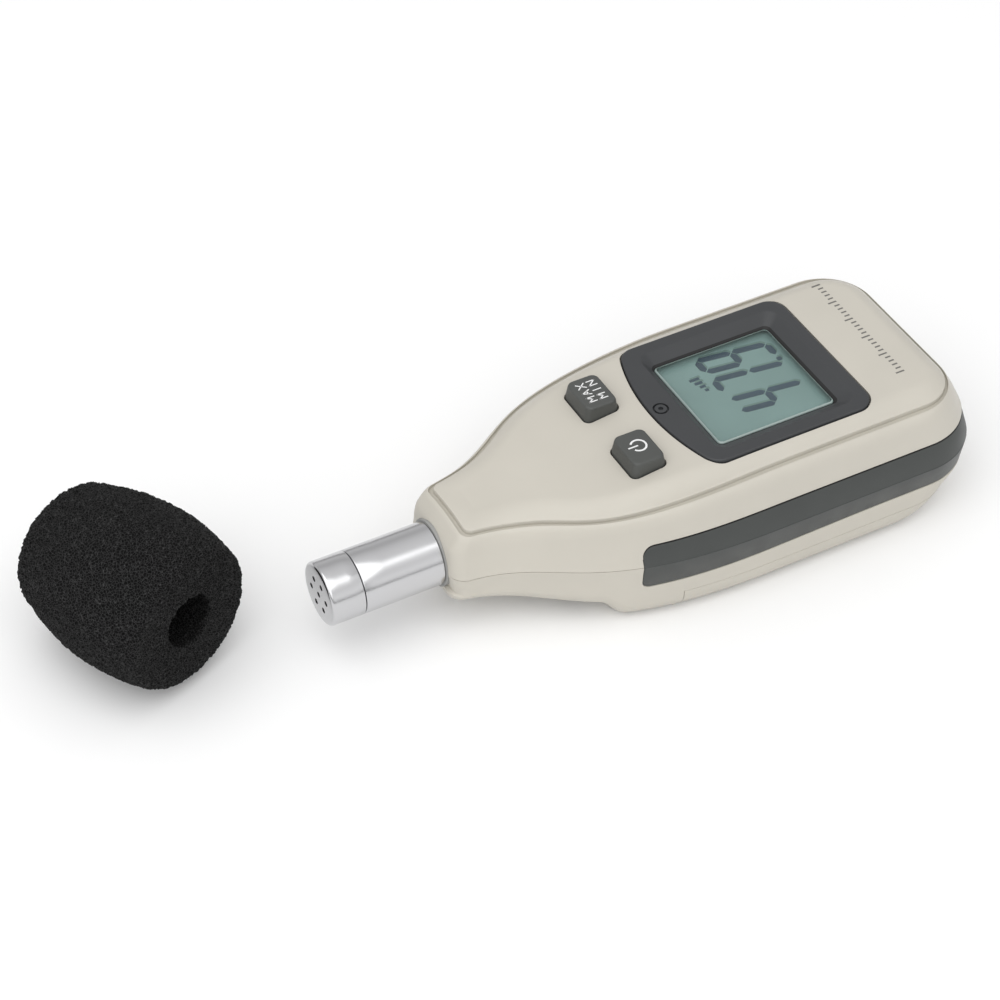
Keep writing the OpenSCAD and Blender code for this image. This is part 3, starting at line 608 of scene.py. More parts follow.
def split_rows(up):
    """A moulding's rows beside the split line: a narrow gap, then a fine round."""
    out = []
    for z, sunk in ((0, 0.5), (0.05, 0.45), (0.06, 0.08), (HAIR, 0)):
        z = AXIS + up * z
        out.append(row(grip_mix(wall_at(z, GRIP), wall_at(z, sunk)), z))
    return out


# from the grip over the shoulder and the channel to the face's edge; the three
# shares say how far the sides, the neck's face and the bottom end have gone
# from SIDE to FACE, and the last value is the drop below the edge
SHOULDER = [
    (0.385, 0.06, 0.56, 4.3),
    (0.40, 0.12, 0.62, 3.5),
    (0.42, 0.22, 0.68, 2.85),
    (0.445, 0.31, 0.72, 2.3),
    (0.48, 0.40, 0.765, 1.8),
    (0.52, 0.48, 0.80, 1.35),
    (0.57, 0.55, 0.83, 1.0),
    (0.63, 0.63, 0.855, 0.72),
    (0.68, 0.69, 0.875, 0.56),
    (0.70, 0.71, 0.882, 0.53),
    (0.713, 0.72, 0.886, 0.58),
    (0.718, 0.726, 0.888, 0.78),
    (0.724, 0.732, 0.89, 1.08),
    (0.735, 0.742, 0.893, 1.15),
    (0.80, 0.80, 0.915, 1.13),
    (0.86, 0.86, 0.94, 1.12),
    (0.92, 0.92, 0.965, 1.12),
    (0.934, 0.934, 0.972, 1.08),
    (0.946, 0.946, 0.977, 0.68),
    (0.955, 0.955, 0.982, 0.3),
    (0.966, 0.966, 0.987, 0.1),
    (0.98, 0.98, 0.993, 0.03),
    (1.0, 1.0, 1.0, 0.0),
]
LIP = 0.12  # rounding of the mouldings' edges beside the grip
STEP = 0.02  # height of the nearly flat ledges behind the grip's edges


def front_rows():
    rows = split_rows(1)
    low = np.where(IN_GRIP, GRIP_TOP, AXIS + 2)
    rows.append(row(grip_mix(wall_at(low - STEP, GRIP), wall_at(low - STEP)), low - STEP))
    rows.append(row(grip_mix(wall_at(low, LIP), wall_at(low)), low))
    rows.append(row(wall_at(low + LIP), low + LIP))
    top = np.maximum(BAND_TOP + 0.3, low + 0.15)
    rows.append(row(wall_at(top), top))
    for k, (f, g, h, d) in enumerate(SHOULDER):
        xy = outline(between(f, g, h))
        last = row(xy, edge_at(xy) - d)
        if k == 0:
            rows.append(rows[-1] * 0.6 + last * 0.4)
        rows.append(last)
    e, c = outline(FACE), outline(FLAT)
    for u in np.linspace(0, 1, 11)[1:]:
        xy = e + (c - e) * u
        z0, z1 = edge_at(e), crown_z(c[:, 1])
        rows.append(row(xy, z0 + (z1 - z0) * (1 - (1 - u) ** 2)))
    return rows


def inner_rows_front():
    def drop(v, d):
        xy = outline(v)
        return row(xy, edge_z(xy[:, 1]) - d)
    c = outline(FLAT)
    return [row(outline(inset(SIDE, WALL + 0.4)), AXIS),
            drop(inset(between(0.5, 0.5, 0.75), WALL), 4.2),
            drop(inset(FACE, 1.2), 2.6),
            row(c, crown_z(c[:, 1]) - 2.8)]


def rear_rows():
    rows = split_rows(-1)
    high = np.where(IN_GRIP, GRIP_LOW, AXIS - 2)
    rows.append(row(grip_mix(wall_at(high + STEP, GRIP), wall_at(high + STEP)), high + STEP))
    rows.append(row(grip_mix(wall_at(high, LIP), wall_at(high)), high))
    rows.append(row(wall_at(high - LIP), high - LIP))
    low = np.minimum(BAND_LOW - 0.3, high - 0.15)
    rows.append(row(wall_at(low), low))
    return rows + back_rows()


BACK_R = 5  # rounding of the back's long edges


def back_rows():
    rows = []
    for a in np.radians(np.linspace(0, 90, 14)):
        lift = BACK_R - BACK_R * math.sin(a)
        xy = outline(rear_line(BACK_R + REAR_IN - BACK_R * math.cos(a), lift))
        rows.append(row(xy, back_z(xy[:, 1]) + lift))
    return rows


def inner_rows_rear():
    a = outline(inset(rear_line(REAR_IN, BACK_R), WALL))
    b = outline(inset(rear_line(BACK_R + REAR_IN, BACK_R / 2), 1.2))
    return [row(outline(inset(SIDE, WALL + 0.4)), AXIS), row(a, back_z(a[:, 1]) + 5.4),
            row(b, back_z(b[:, 1]) + WALL)]


NECK_SCREWS = [(12.5, 96), (-12.5, 96)]
END_SCREWS = [(19.5, 11.5), (-19.5, 11.5)]
BOARD_SCREWS = [(15.5, 23), (-15.5, 23), (14.5, 88), (-14.5, 88)]
BOARD_TOP = 24.0
BOSS_R, REAR_BOSS_R, PILLAR_R = 2.9, 3.4, 2.2
CASE_THREAD_R, CASE_HOLE_R, CASE_HEAD_R, BOARD_THREAD_R = 1.15, 1.3, 2.5, 0.85
NECK_BLOCK = (114.4, 120.5)  # along Y, round the microphone tube
KEY_X, KEY_Y, KEY_W, KEY_L = 9.8, 79.5, 10.2, 8.0
VIEW_W, VIEW_L, VIEW_Y = 27.7, 28.9, 47.7  # display opening and its middle
FRAME_W, FRAME_L = 15.5, 16.1  # half size of the bezel's inner frame
# tube's bore, gasket's seat and the groove for the tube's collar
MIC_CUTS = [("DIFFERENCE", rod(100, 125, 6.64)), ("DIFFERENCE", rod(122.3, 125, 7.54)),
            ("DIFFERENCE", rod(116.8, 119, 7.8))]

# ---------------------------------------------------------------- bezel ring


def frame_ring(w, y0, top, rb, rt, arc=None, n=(8, 8, 10, 8, 12)):
    """Outline about x = 0 with a flat or arched top; arc is (apex y, radius)."""
    pts = [(x, y0) for x in np.linspace(0, w - rb, n[0], endpoint=False)]
    for a in np.radians(np.linspace(-90, 0, n[1], endpoint=False)):
        pts.append((w - rb + rb * math.cos(a), y0 + rb + rb * math.sin(a)))
    if arc:
        apex, big = arc
        cy = apex - big
        ty = cy + math.sqrt((big - rt) ** 2 - (w - rt) ** 2)
        end = math.degrees(math.atan2(ty - cy, w - rt))
    else:
        ty, end = top - rt, 90.0
    pts += [(w, y) for y in np.linspace(y0 + rb, ty, n[2], endpoint=False)]
    for a in np.radians(np.linspace(0, end, n[3], endpoint=False)):
        pts.append((w - rt + rt * math.cos(a), ty + rt * math.sin(a)))
    if arc:
        for a in np.radians(np.linspace(end, 90, n[4] + 1)):
            pts.append((big * math.cos(a), cy + big * math.sin(a)))
    else:
        pts += [(x, top) for x in np.linspace(w - rt, 0, n[4] + 1)]
    half = np.array(pts)
    half[-1, 0] = 0
    return np.r_[half, half[-2:0:-1] * (-1, 1)]


def bezel_outer(grow):
    return frame_ring(20 + grow, 27.1 - grow, 0, 4.0 + grow, 4.0 + grow, (70.8 + grow, 52 + grow))


# ---------------------------------------------------------------- front shell
# the channel is painted a little darker than the case, painted shade in the groove: rows between
# its two lips
CHANNEL_ROWS = (19, 27)
fv, ff = shell(front_rows(), inner_rows_front(), crown_z)
front_mats = [int(CHANNEL_ROWS[0] <= k // RING_N < CHANNEL_ROWS[1]) for k in range(len(ff))]
front = mesh_object("front_case", fv, ff, [case_mat, channel_shade_mat], face_mats=front_mats)
ops = [("UNION", post(x, y, AXIS, float(edge_z(y)) - 0.9, BOSS_R)) for x, y in NECK_SCREWS]
ops += [("UNION", post(x, y, AXIS, 28.8, BOSS_R)) for x, y in END_SCREWS]
ops += [("UNION", post(x, y, BOARD_TOP, float(crown_z(y)) - 2.4, PILLAR_R))
        for x, y in BOARD_SCREWS]
ops += [("UNION", block(-8.8, 8.8, *NECK_BLOCK, AXIS, AXIS + 7.8))]
ops += [("DIFFERENCE", post(x, y, AXIS - 1, 22.2, CASE_THREAD_R)) for x, y in NECK_SCREWS]
ops += [("DIFFERENCE", post(x, y, AXIS - 1, 24.2, CASE_THREAD_R)) for x, y in END_SCREWS]
ops += [("DIFFERENCE", post(x, y, BOARD_TOP - 1, 27.4, BOARD_THREAD_R))
        for x, y in BOARD_SCREWS]
# the bezel's recess, with a gap round it, and the opening behind it
BEZEL_GAP = 0.34
ops += [("DIFFERENCE", prism(bezel_outer(BEZEL_GAP), 31.3, 36)),
        ("DIFFERENCE", block(-15.7, 15.7, VIEW_Y - 16.3, VIEW_Y + 16.3, 24, 34))]
ops += [("DIFFERENCE", prism(rounded(KEY_W + 0.6, KEY_L + 0.6, 1.6, s * KEY_X, KEY_Y), 24, 36))
        for s in (-1, 1)]
cut(front, ops + MIC_CUTS)
dress(front, "meter", ["front_shell"])

# ---------------------------------------------------------------- rear shell


def tongue(s, grow, y0, y1, z):
    """The battery cover's tongue, on one side of the bay."""
    half = 0.9 + grow
    x = s * TONGUE_X
    return block(x - half, x + half, y0, y1, z - grow, 5.6 + grow)


TONGUE_X, LEAD_X = 20.9, 14.9
BAY_W, BAY_Y0, BAY_Y1, BAY_TOP = 36.5, 18.0, 69.5, 13.0
rear = mesh_object("rear_case", *shell(rear_rows(), inner_rows_rear(), back_z), case_mat)
ledge = outline(rear_line(2, SEAM))
ledge = ledge[ledge[:, 1] <= COVER_L + 1.6]
ops = [("DIFFERENCE", block(-40, 40, -5, COVER_L, -5, SEAM)),
       ("UNION", prism(ledge, SEAM, SEAM + 1.5)),
       ("UNION", block(-19.65, 19.65, BAY_Y0 - 1.4, BAY_Y1 + 1.4, 2.9, BAY_TOP + 1.4)),
       ("UNION", block(-24.5, 24.5, COVER_L, COVER_L + 1.6, 1.2, SEAM + 1.5))]
ops += [("UNION", post(x, y, 4.2, AXIS, REAR_BOSS_R)) for x, y in NECK_SCREWS]
ops += [("UNION", post(x, y, SEAM, AXIS, REAR_BOSS_R)) for x, y in END_SCREWS]
ops += [("UNION", block(-9.5, 9.5, *NECK_BLOCK, AXIS - 4.7, AXIS)),
        ("UNION", block(-7.3, 7.3, *NECK_BLOCK, AXIS - 8.2, AXIS - 4.6)),
        ("DIFFERENCE", block(-BAY_W / 2, BAY_W / 2, BAY_Y0, BAY_Y1, -1, BAY_TOP))]
ops += [("DIFFERENCE", tongue(s, 0.25, COVER_L - 1, COVER_L + 3, 4.5)) for s in (-1, 1)]
# lead holes through the bay's end wall
ops += [("DIFFERENCE", block(s * LEAD_X - 0.9, s * LEAD_X + 0.9, BAY_Y0 - 2, BAY_Y0 + 1,
                             BAY_TOP - 2.5, BAY_TOP - 0.7)) for s in (-1, 1)]
for screws, low, seat in ((NECK_SCREWS, 2, 8), (END_SCREWS, 4, 9.5)):
    for x, y in screws:
        ops.append(("DIFFERENCE", post(x, y, low, AXIS + 1, CASE_HOLE_R)))
        ops.append(("DIFFERENCE", post(x, y, low, seat, CASE_HEAD_R)))
cut(rear, ops + MIC_CUTS)
dress(rear, "meter", ["rear_shell"])

# ---------------------------------------------------------------- battery cover
COVER_GAP = 0.15
RIM_Z = SEAM - COVER_GAP
cover_rows = [row(outline(rear_line(REAR_IN + HAIR, RIM_Z)), RIM_Z),
              row(outline(rear_line(REAR_IN, RIM_Z)), RIM_Z - HAIR)]
cover_rows += back_rows()
inner = [row(outline(rear_line(d, z)), z) for d, z in ((3.2, RIM_Z), (5.2, 3.0), (7.4, 1.6))]
cover = mesh_object("battery_door", *shell(cover_rows, inner, back_z), case_mat)
ops = [("INTERSECT", block(-40, 40, -5, COVER_L - COVER_GAP, -5, SEAM))]
for s in (-1, 1):
    ops.append(("UNION", tongue(s, 0, COVER_L - 6, COVER_L + 3, 4.5)))
    ops.append(("UNION", tongue(s, 0, COVER_L - 6, COVER_L - 1.4, 1.5)))
cut(cover, ops)
dress(cover, "cover", ["battery_cover"])

# ---------------------------------------------------------------- side grip
GAP = 0.12
GRIP_R = 0.3  # rounding of the band's edges
# (distance from the edge, sink), from inside the gap round to the outer face
GRIP_EDGE = ((0.0, GRIP - GAP), (0.0, 0.34), (0.05, 0.2), (0.14, 0.08), (GRIP_R, 0.0))
GRIP_LINE = ((-0.5, 0.0), (-0.12, 0.0), (0.0, 0.14), (0.12, 0.0), (0.5, 0.0))
grip_profile = []  # (height, sink) per column, from the lower inner edge round
for k, sink in GRIP_EDGE:
    grip_profile.append((GRIP_LOW + GAP + k, sink))
for k, sink in GRIP_LINE:
    grip_profile.append((np.full(RING_N, AXIS + k), sink))
for k, sink in GRIP_EDGE[::-1]:
    grip_profile.append((GRIP_TOP - 2 * GAP - k, sink))
cols = np.r_[np.arange(RING_N - GRIP_COL, RING_N), np.arange(0, GRIP_COL + 1)]
tip = np.clip(GRIP_R - from_end, 0, GRIP_R)[:, None]
strips = []
for z, sink in grip_profile:
    a, b = wall_at(z, sink), wall_at(z, min(sink + GRIP_R, GRIP - GAP))
    strips.append(row(a + (b - a) * (tip / GRIP_R) ** 2, z)[cols])
rings = [np.array([r[k] for r in strips]) for k in range(len(cols))]
gv, gf = loft(rings)
# the band's edges, down in the gap round it, are painted black, painted shade in the gap
side_n = len(grip_profile)
GAP_SHADE_STRIPS = (0, 1, 11, 12, 13)
gmat = [int(k < side_n * (len(cols) - 1) and k % side_n in GAP_SHADE_STRIPS) for k in range(len(gf))]
grip = mesh_object("grip_band", gv, gf, [grip_mat, shade_black_mat], angle=40, face_mats=gmat)
dress(grip, "meter", ["side_grip"])

# ---------------------------------------------------------------- display
# heights of the bezel's underside at the opening and at its outer rim, and its top
LENS, SEAT, RIM = 30.95, 31.35, 33.2
RIM_R = 0.38
rings = [at_z(bezel_outer(0), SEAT), at_z(bezel_outer(0), RIM - RIM_R)]
for a in np.radians(np.linspace(0, 90, 6)[1:]):
    rings.append(at_z(bezel_outer(-RIM_R * (1 - math.cos(a))), RIM - RIM_R + RIM_R * math.sin(a)))


def slope_ring(t, z):
    """From the rim's inner edge (t = 0) to the display opening (t = 1)."""
    a = frame_ring(17.5, 29.4, 64.7, 3.0, 3.0)
    b = frame_ring(VIEW_W / 2, VIEW_Y - VIEW_L / 2, VIEW_Y + VIEW_L / 2, 1.2, 1.2)
    return at_z(a + (b - a) * t, z)


SLOPE = [(0.0, RIM), (0.05, RIM - 0.015), (0.1, RIM - 0.06), (0.15, RIM - 0.14),
         (0.2, RIM - 0.25)]
# the foot of the slope and the opening's edge are painted black, painted shade down in the recess
foot = len(rings) + len(SLOPE)
SLOPE += [(0.84, LENS + 0.5), (0.96, LENS + 0.2), (1.0, LENS + 0.1), (1.0, LENS)]
rings += [slope_ring(t, z) for t, z in SLOPE]
frame_back = frame_ring(FRAME_W, VIEW_Y - FRAME_L, VIEW_Y + FRAME_L, 1, 1)
rings += [at_z(frame_back, LENS), at_z(frame_back, SEAT)]
bv, bf = loft(rings, close=True)
bmat = [int(foot <= k // len(frame_back) < foot + 4) for k in range(len(bf))]
bezel = mesh_object("bezel", bv, bf, [bezel_mat, shade_black_mat], angle=38, face_mats=bmat)
# sunk mark beside the opening: a ring and a dot
MARK_Y, MARK_IN, MARK_OUT, DOT_R = 68.3, 1.3, 1.75, 0.55
mark = turned([(MARK_IN, 0), (MARK_OUT, 0), (MARK_OUT, 1), (MARK_IN, 1)], n=48)
ring_cut = (mark[0][:, [0, 2, 1]] + (0, MARK_Y - AXIS, RIM - 0.6), mark[1])
cut(bezel, [("DIFFERENCE", ring_cut),
            ("DIFFERENCE", post(0, MARK_Y, RIM - 0.5, RIM + 1, DOT_R))], 38)
dress(bezel, "meter", ["display_bezel"])

# window: a flange below the bezel and a step that fills the opening
flange = rounded(2 * FRAME_W, 2 * FRAME_L, 1, 0, VIEW_Y)
step = rounded(VIEW_W - 0.3, VIEW_L - 0.3, 1.1, 0, VIEW_Y)
step_top = rounded(VIEW_W - 0.8, VIEW_L - 0.8, 0.95, 0, VIEW_Y)
WIN_Z = (29.9, 30.9, 30.9, 31.15, 31.4)
wv, wf = loft([at_z(r, z) for r, z in zip((flange, flange, step, step, step_top), WIN_Z)])
# the step's sides and bevel are painted lighter than the clear sheet, a painted highlight along its
# edge
wmat = [int(2 <= k // len(step) < 4) for k in range(len(wf) - 2)] + [0, 0]
mesh_object("window", wv, wf, [window_mat, edge_highlight_mat], "meter", 25, ["display_window"],
            "window", wmat)

# digits: seven-segment bars of the LCD, leaning a little
SLANT, SLANT_Y = 0.13, 42.6
LCD_LOW, SHADOW_TOP, SEGMENT_TOP = 29.79, 29.812, 29.83


def bar(x0, y0, x1, y1, w=1.6):
    """One pointed LCD bar between two points, millimetres on the glass."""
    d = Vector((x1 - x0, y1 - y0))
    u = d.normalized()
    n = Vector((-u.y, u.x)) * (w / 2)
    gap = 0.16
    a, b = Vector((x0, y0)) + u * gap, Vector((x1, y1)) - u * gap
    tip_l = u * (w / 2)
    pts = [a, a + tip_l - n, b - tip_l - n, b, b - tip_l + n, a + tip_l + n]
    return prism([(p.x + SLANT * (p.y - SLANT_Y), p.y) for p in pts], LCD_LOW, SEGMENT_TOP)


DIGIT_W, DIGIT_H, DIGIT_Y = 4.1, 16.4, 35.3


def digit(x, lit):
    """Lit bars, a to g, of a digit whose right side is at x."""
    l, r, b, m, t = x - DIGIT_W, x, DIGIT_Y, DIGIT_Y + DIGIT_H / 2, DIGIT_Y + DIGIT_H
    place = {"a": (l, t, r, t), "b": (r, m, r, t), "c": (r, b, r, m), "d": (l, b, r, b),
             "e": (l, b, l, m), "f": (l, m, l, t), "g": (l, m, r, m)}
    return [bar(*place[s]) for s in lit]


parts = digit(-2.65, "fgbc") + digit(4.45, "abc") + digit(11.55, "abcdfg")
parts.append(prism(rounded(1.2, 1.2, 0.3, 5.1, DIGIT_Y), LCD_LOW, SEGMENT_TOP))
# four rising bars in place of a unit
UNIT_X, UNIT_Y, UNIT_PITCH, UNIT_W = 3.3, 54, 1.35, 0.8
for k, h in enumerate((0.9, 1.4, 1.9, 2.4)):
    x = UNIT_X + UNIT_PITCH * k
    corners = [(x, UNIT_Y), (x + UNIT_W, UNIT_Y), (x + UNIT_W, UNIT_Y + h), (x, UNIT_Y + h)]
    parts.append(prism(corners, LCD_LOW, SEGMENT_TOP))
mesh_object("lcd_segments", *joined(parts), segment_mat, "meter", slot="lcd")
# each segment's drawn shadow on the reflector, offset to one side
SHADOW_X, SHADOW_Y = 0.5, -0.45
shade_parts = []
for v, f in parts:
    z = np.where(v[:, 2] > LCD_LOW + 0.02, SHADOW_TOP, LCD_LOW)
    shade_parts.append((np.c_[v[:, 0] + SHADOW_X, v[:, 1] + SHADOW_Y, z], f))
mesh_object("lcd_shadows", *joined(shade_parts), shadow_mat, "meter", slot="lcd")

# ---------------------------------------------------------------- keys


def key_solid(s):
    """A key with its skirt, on side s; each section is (width, length, corner, height)."""
    sections = [(11.6, 9.2, 1.8, 27.4), (11.6, 9.2, 1.8, 28.1), (KEY_W, KEY_L, 1.4, 28.1),
                (KEY_W, KEY_L, 1.4, 32.5), (KEY_W - 0.05, KEY_L - 0.1, 1.42, 32.75),
                (KEY_W - 0.26, KEY_L - 0.62, 1.5, 34.5), (KEY_W - 0.34, KEY_L - 0.72, 1.5, 34.74),
                (KEY_W - 0.5, KEY_L - 0.88, 1.48, 34.93), (KEY_W - 0.76, KEY_L - 1.14, 1.42, 35.06),
                (KEY_W - 1.1, KEY_L - 1.48, 1.3, 35.13), (KEY_W - 1.6, KEY_L - 2.0, 1.1, 35.16)]
    return loft([at_z(rounded(w, l, r, s * KEY_X, KEY_Y), z) for w, l, r, z in sections])


def stroke(x0, y0, x1, y1, w, z0, z1):
    """Square-ended stroke of width w."""
    d = Vector((x1 - x0, y1 - y0)).normalized()
    n = Vector((-d.y, d.x)) * (w / 2)
    a, b = Vector((x0, y0)) - d * w / 2, Vector((x1, y1)) + d * w / 2
    return prism([tuple(a - n), tuple(b - n), tuple(b + n), tuple(a + n)], z0, z1)


INK = (35.15, 35.18)  # heights of the raised marks
# power symbol: a broken ring and a stroke through the break
open_half = math.radians(34)
RING_OUT, RING_IN = 1.85, 1.43
arc = np.linspace(math.pi / 2 + open_half, math.pi / 2 + 2 * math.pi - open_half, 40)
pc = Vector((-KEY_X + 0.25, KEY_Y - 0.1))
ring_out = [(pc.x + RING_OUT * math.cos(a), pc.y + RING_OUT * math.sin(a)) for a in arc]
ring_in = [(pc.x + RING_IN * math.cos(a), pc.y + RING_IN * math.sin(a)) for a in arc]
rv, rf = [], []
for a, b in zip(ring_out, ring_in):
    rv += [(*a, INK[0]), (*b, INK[0]), (*b, INK[1]), (*a, INK[1])]
for k in range(len(arc) - 1):
    for i in range(4):
        j = (i + 1) % 4
        rf.append((4 * k + i, 4 * k + j, 4 * k + 4 + j, 4 * k + 4 + i))
rf += [(3, 2, 1, 0), tuple(4 * (len(arc) - 1) + i for i in range(4))]
power = [(np.array(rv), rf), stroke(pc.x, pc.y + 0.3, pc.x, pc.y + 2.25, 0.36, *INK)]

# strokes of each letter in a unit box: (x0, y0, x1, y1)
LETTERS = {
    "M": [(0, 0, 0, 1), (0, 1, 0.5, 0.35), (0.5, 0.35, 1, 1), (1, 1, 1, 0)],
    "A": [(0, 0, 0.5, 1), (0.5, 1, 1, 0), (0.2, 0.35, 0.8, 0.35)],
    "X": [(0, 0, 1, 1), (0, 1, 1, 0)],
    "I": [(0.5, 0, 0.5, 1)],
    "N": [(0, 0, 0, 1), (0, 1, 1, 0), (1, 0, 1, 1)],
}
LETTER_W, LETTER_H, LETTER_PITCH, LETTER_LINE = 1.45, 1.8, 2.3, 0.26


def word(text, x, y):
    out = []
    for k, c in enumerate(text):
        left = x + k * LETTER_PITCH
        for x0, y0, x1, y1 in LETTERS[c]:
            out.append(stroke(left + x0 * LETTER_W, y + y0 * LETTER_H, left + x1 * LETTER_W,
                              y + y1 * LETTER_H, LETTER_LINE, *INK))
    return out


maxmin = word("MAX", KEY_X - 3.0, KEY_Y + 0.4) + word("MIN", KEY_X - 3.0, KEY_Y - 2.15)
for s, name, marks, node in ((1, "key_maxmin", maxmin, "maxmin"),
                             (-1, "key_power", power, "power")):
    body = node + "_button"
    mesh_object(name, *key_solid(s), key_mat, body, 50, [node + "_key"], "key")
    mesh_object(name + "_mark", *joined(marks), ink_white, body, slot="key")

# printed row of ticks below the display, every fifth one long
TICKS, TICK_X, TICK_SPAN, TICK_Y, TICK_W = 26, -14.0, 33.0, 16.0, 0.42
ticks = []
for k in range(TICKS):
    x = TICK_X + k * TICK_SPAN / (TICKS - 1)
    top = TICK_Y + (2.1 if k % 5 == 0 else 1.3)
    corners = [(x, TICK_Y), (x + TICK_W, TICK_Y), (x + TICK_W, top), (x, top)]
    ticks.append(prism(corners, CROWN - 0.05, CROWN + 0.015))
mesh_object("printed_scale", *joined(ticks), ink_dark, "meter", slot="case")

# ---------------------------------------------------------------- microphone
# profiles are (radius, y); BARREL_R is the outside that a windscreen slips over
BARREL_R, TUBE_BORE, TUBE_R = 7, 6, 6.6
tube = [(TUBE_BORE, 110), (TUBE_R, 110), (TUBE_R, 116.9), (7.68, 116.9), (7.68, 118.9),
        (TUBE_R, 118.9), (TUBE_R, 123.35), (6.92, 123.35), (BARREL_R, 123.43),
        (BARREL_R, 130), (BARREL_R, 136), (BARREL_R, 141.15), (6.95, 141.28),
        (6.86, 141.33), (TUBE_BORE, 141.35)]
mesh_object("mic_barrel", *turned(tube, n=128), chrome_mat, "meter", 30, ["mic_tube"], "chrome")
CAP_END, CAP_FLOOR, CAP_R = 149.0, 147.9, 0.8
cap_profile = [(5.95, 138), (5.95, 141.45), (6.86, 141.5), (6.95, 141.55),
               (BARREL_R, 141.68), (BARREL_R, 144), (BARREL_R, 146.5), (BARREL_R, 148.2)]
for a in np.radians(np.linspace(0, 90, 8)[1:]):
    cap_profile.append((6.2 + CAP_R * math.cos(a), 148.2 + CAP_R * math.sin(a)))
cap_profile += [(5.2, CAP_END), (3.0, CAP_END), (0.02, CAP_END), (0.02, CAP_FLOOR),
                (3.0, CAP_FLOOR), (5.25, CAP_FLOOR), (5.25, 138)]
cap = mesh_object("mic_grille", *turned(cap_profile, n=128), chrome_mat)
# the middle sound hole takes in the turned profile's tiny bore
SOUND_HOLE_R, SOUND_RING_R = 0.65, 3.45
holes = [("DIFFERENCE", rod(140, 150, SOUND_HOLE_R, n=32))]
for k in range(6):
    a = math.radians(54 + 60 * k)
    x, z = SOUND_RING_R * math.cos(a), AXIS + SOUND_RING_R * math.sin(a)
    holes.append(("DIFFERENCE", rod(140, 150, SOUND_HOLE_R, x, z, n=32)))
cut(cap, holes, 30)
dress(cap, "meter", ["mic_cap"])
gasket = [(6.62, 122.35), (7.5, 122.35), (7.5, 123.1), (7.44, 123.18), (7.35, 123.2),
          (6.62, 123.2)]
mesh_object("mic_seal", *turned(gasket), gasket_mat, "meter", 30, ["mic_gasket"], "gasket")

# ---------------------------------------------------------------- windscreen
SCREEN_D, SCREEN_L, SOCKET_D, SOCKET_L = 37.4, 38.0, 12.6, 24.0
SCREEN_AT, SCREEN_TURN = (20.4, 183.0), math.radians(22)
# the profile lies FOAM_IN inside the full radius and FACE_IN inside the two ends
FOAM_IN, FACE_IN = 0.25, 0.15
# number, radius and depth of the random cells, and how much the skin frays
CELLS, CELL_R, PIT, FRAY = 15000, 0.55, 0.36, 0.8


def foam_profile():
    """(radius, y) from the socket's floor out of its mouth to the closed end."""
    r = SCREEN_D / 2 - FOAM_IN
    open_r, closed_r, ro, rc = r - 1.8, r - 3.2, 2.6, 5.2
    top = 2 * r - (open_r + closed_r) / 2
    pts = [(0.35 * (1 + k), SOCKET_L) for k in range(0, 16)]
    # the socket closes in a little towards its mouth
    pts += [(SOCKET_D / 2 - 0.16 * max(0, 5 - y), y)
            for y in np.linspace(SOCKET_L - 0.3, 1.0, 60)]
    pts += [(SOCKET_D / 2 - 0.55, 0.5), (SOCKET_D / 2 - 0.2, 0.2)]
    pts += [(x, FACE_IN) for x in np.linspace(SOCKET_D / 2 + 0.25, open_r - ro, 24)]
    for a in np.radians(np.linspace(-90, 0, 12)[1:]):
        pts.append((open_r - ro + ro * math.cos(a), FACE_IN + ro + ro * math.sin(a)))
    for t in np.linspace(0, 1, 86)[1:-1]:
        pts.append((open_r * (1 - t) ** 2 + 2 * top * t * (1 - t) + closed_r * t * t,
                    FACE_IN + ro + (SCREEN_L - 2 * FACE_IN - ro - rc) * t))
    for a in np.radians(np.linspace(0, 90, 24)):
        pts.append((closed_r - rc + rc * math.cos(a), SCREEN_L - FACE_IN - rc + rc * math.sin(a)))
    pts += [(x, SCREEN_L - FACE_IN) for x in np.linspace(closed_r - rc, 0.35, 30)[1:]]
    return pts


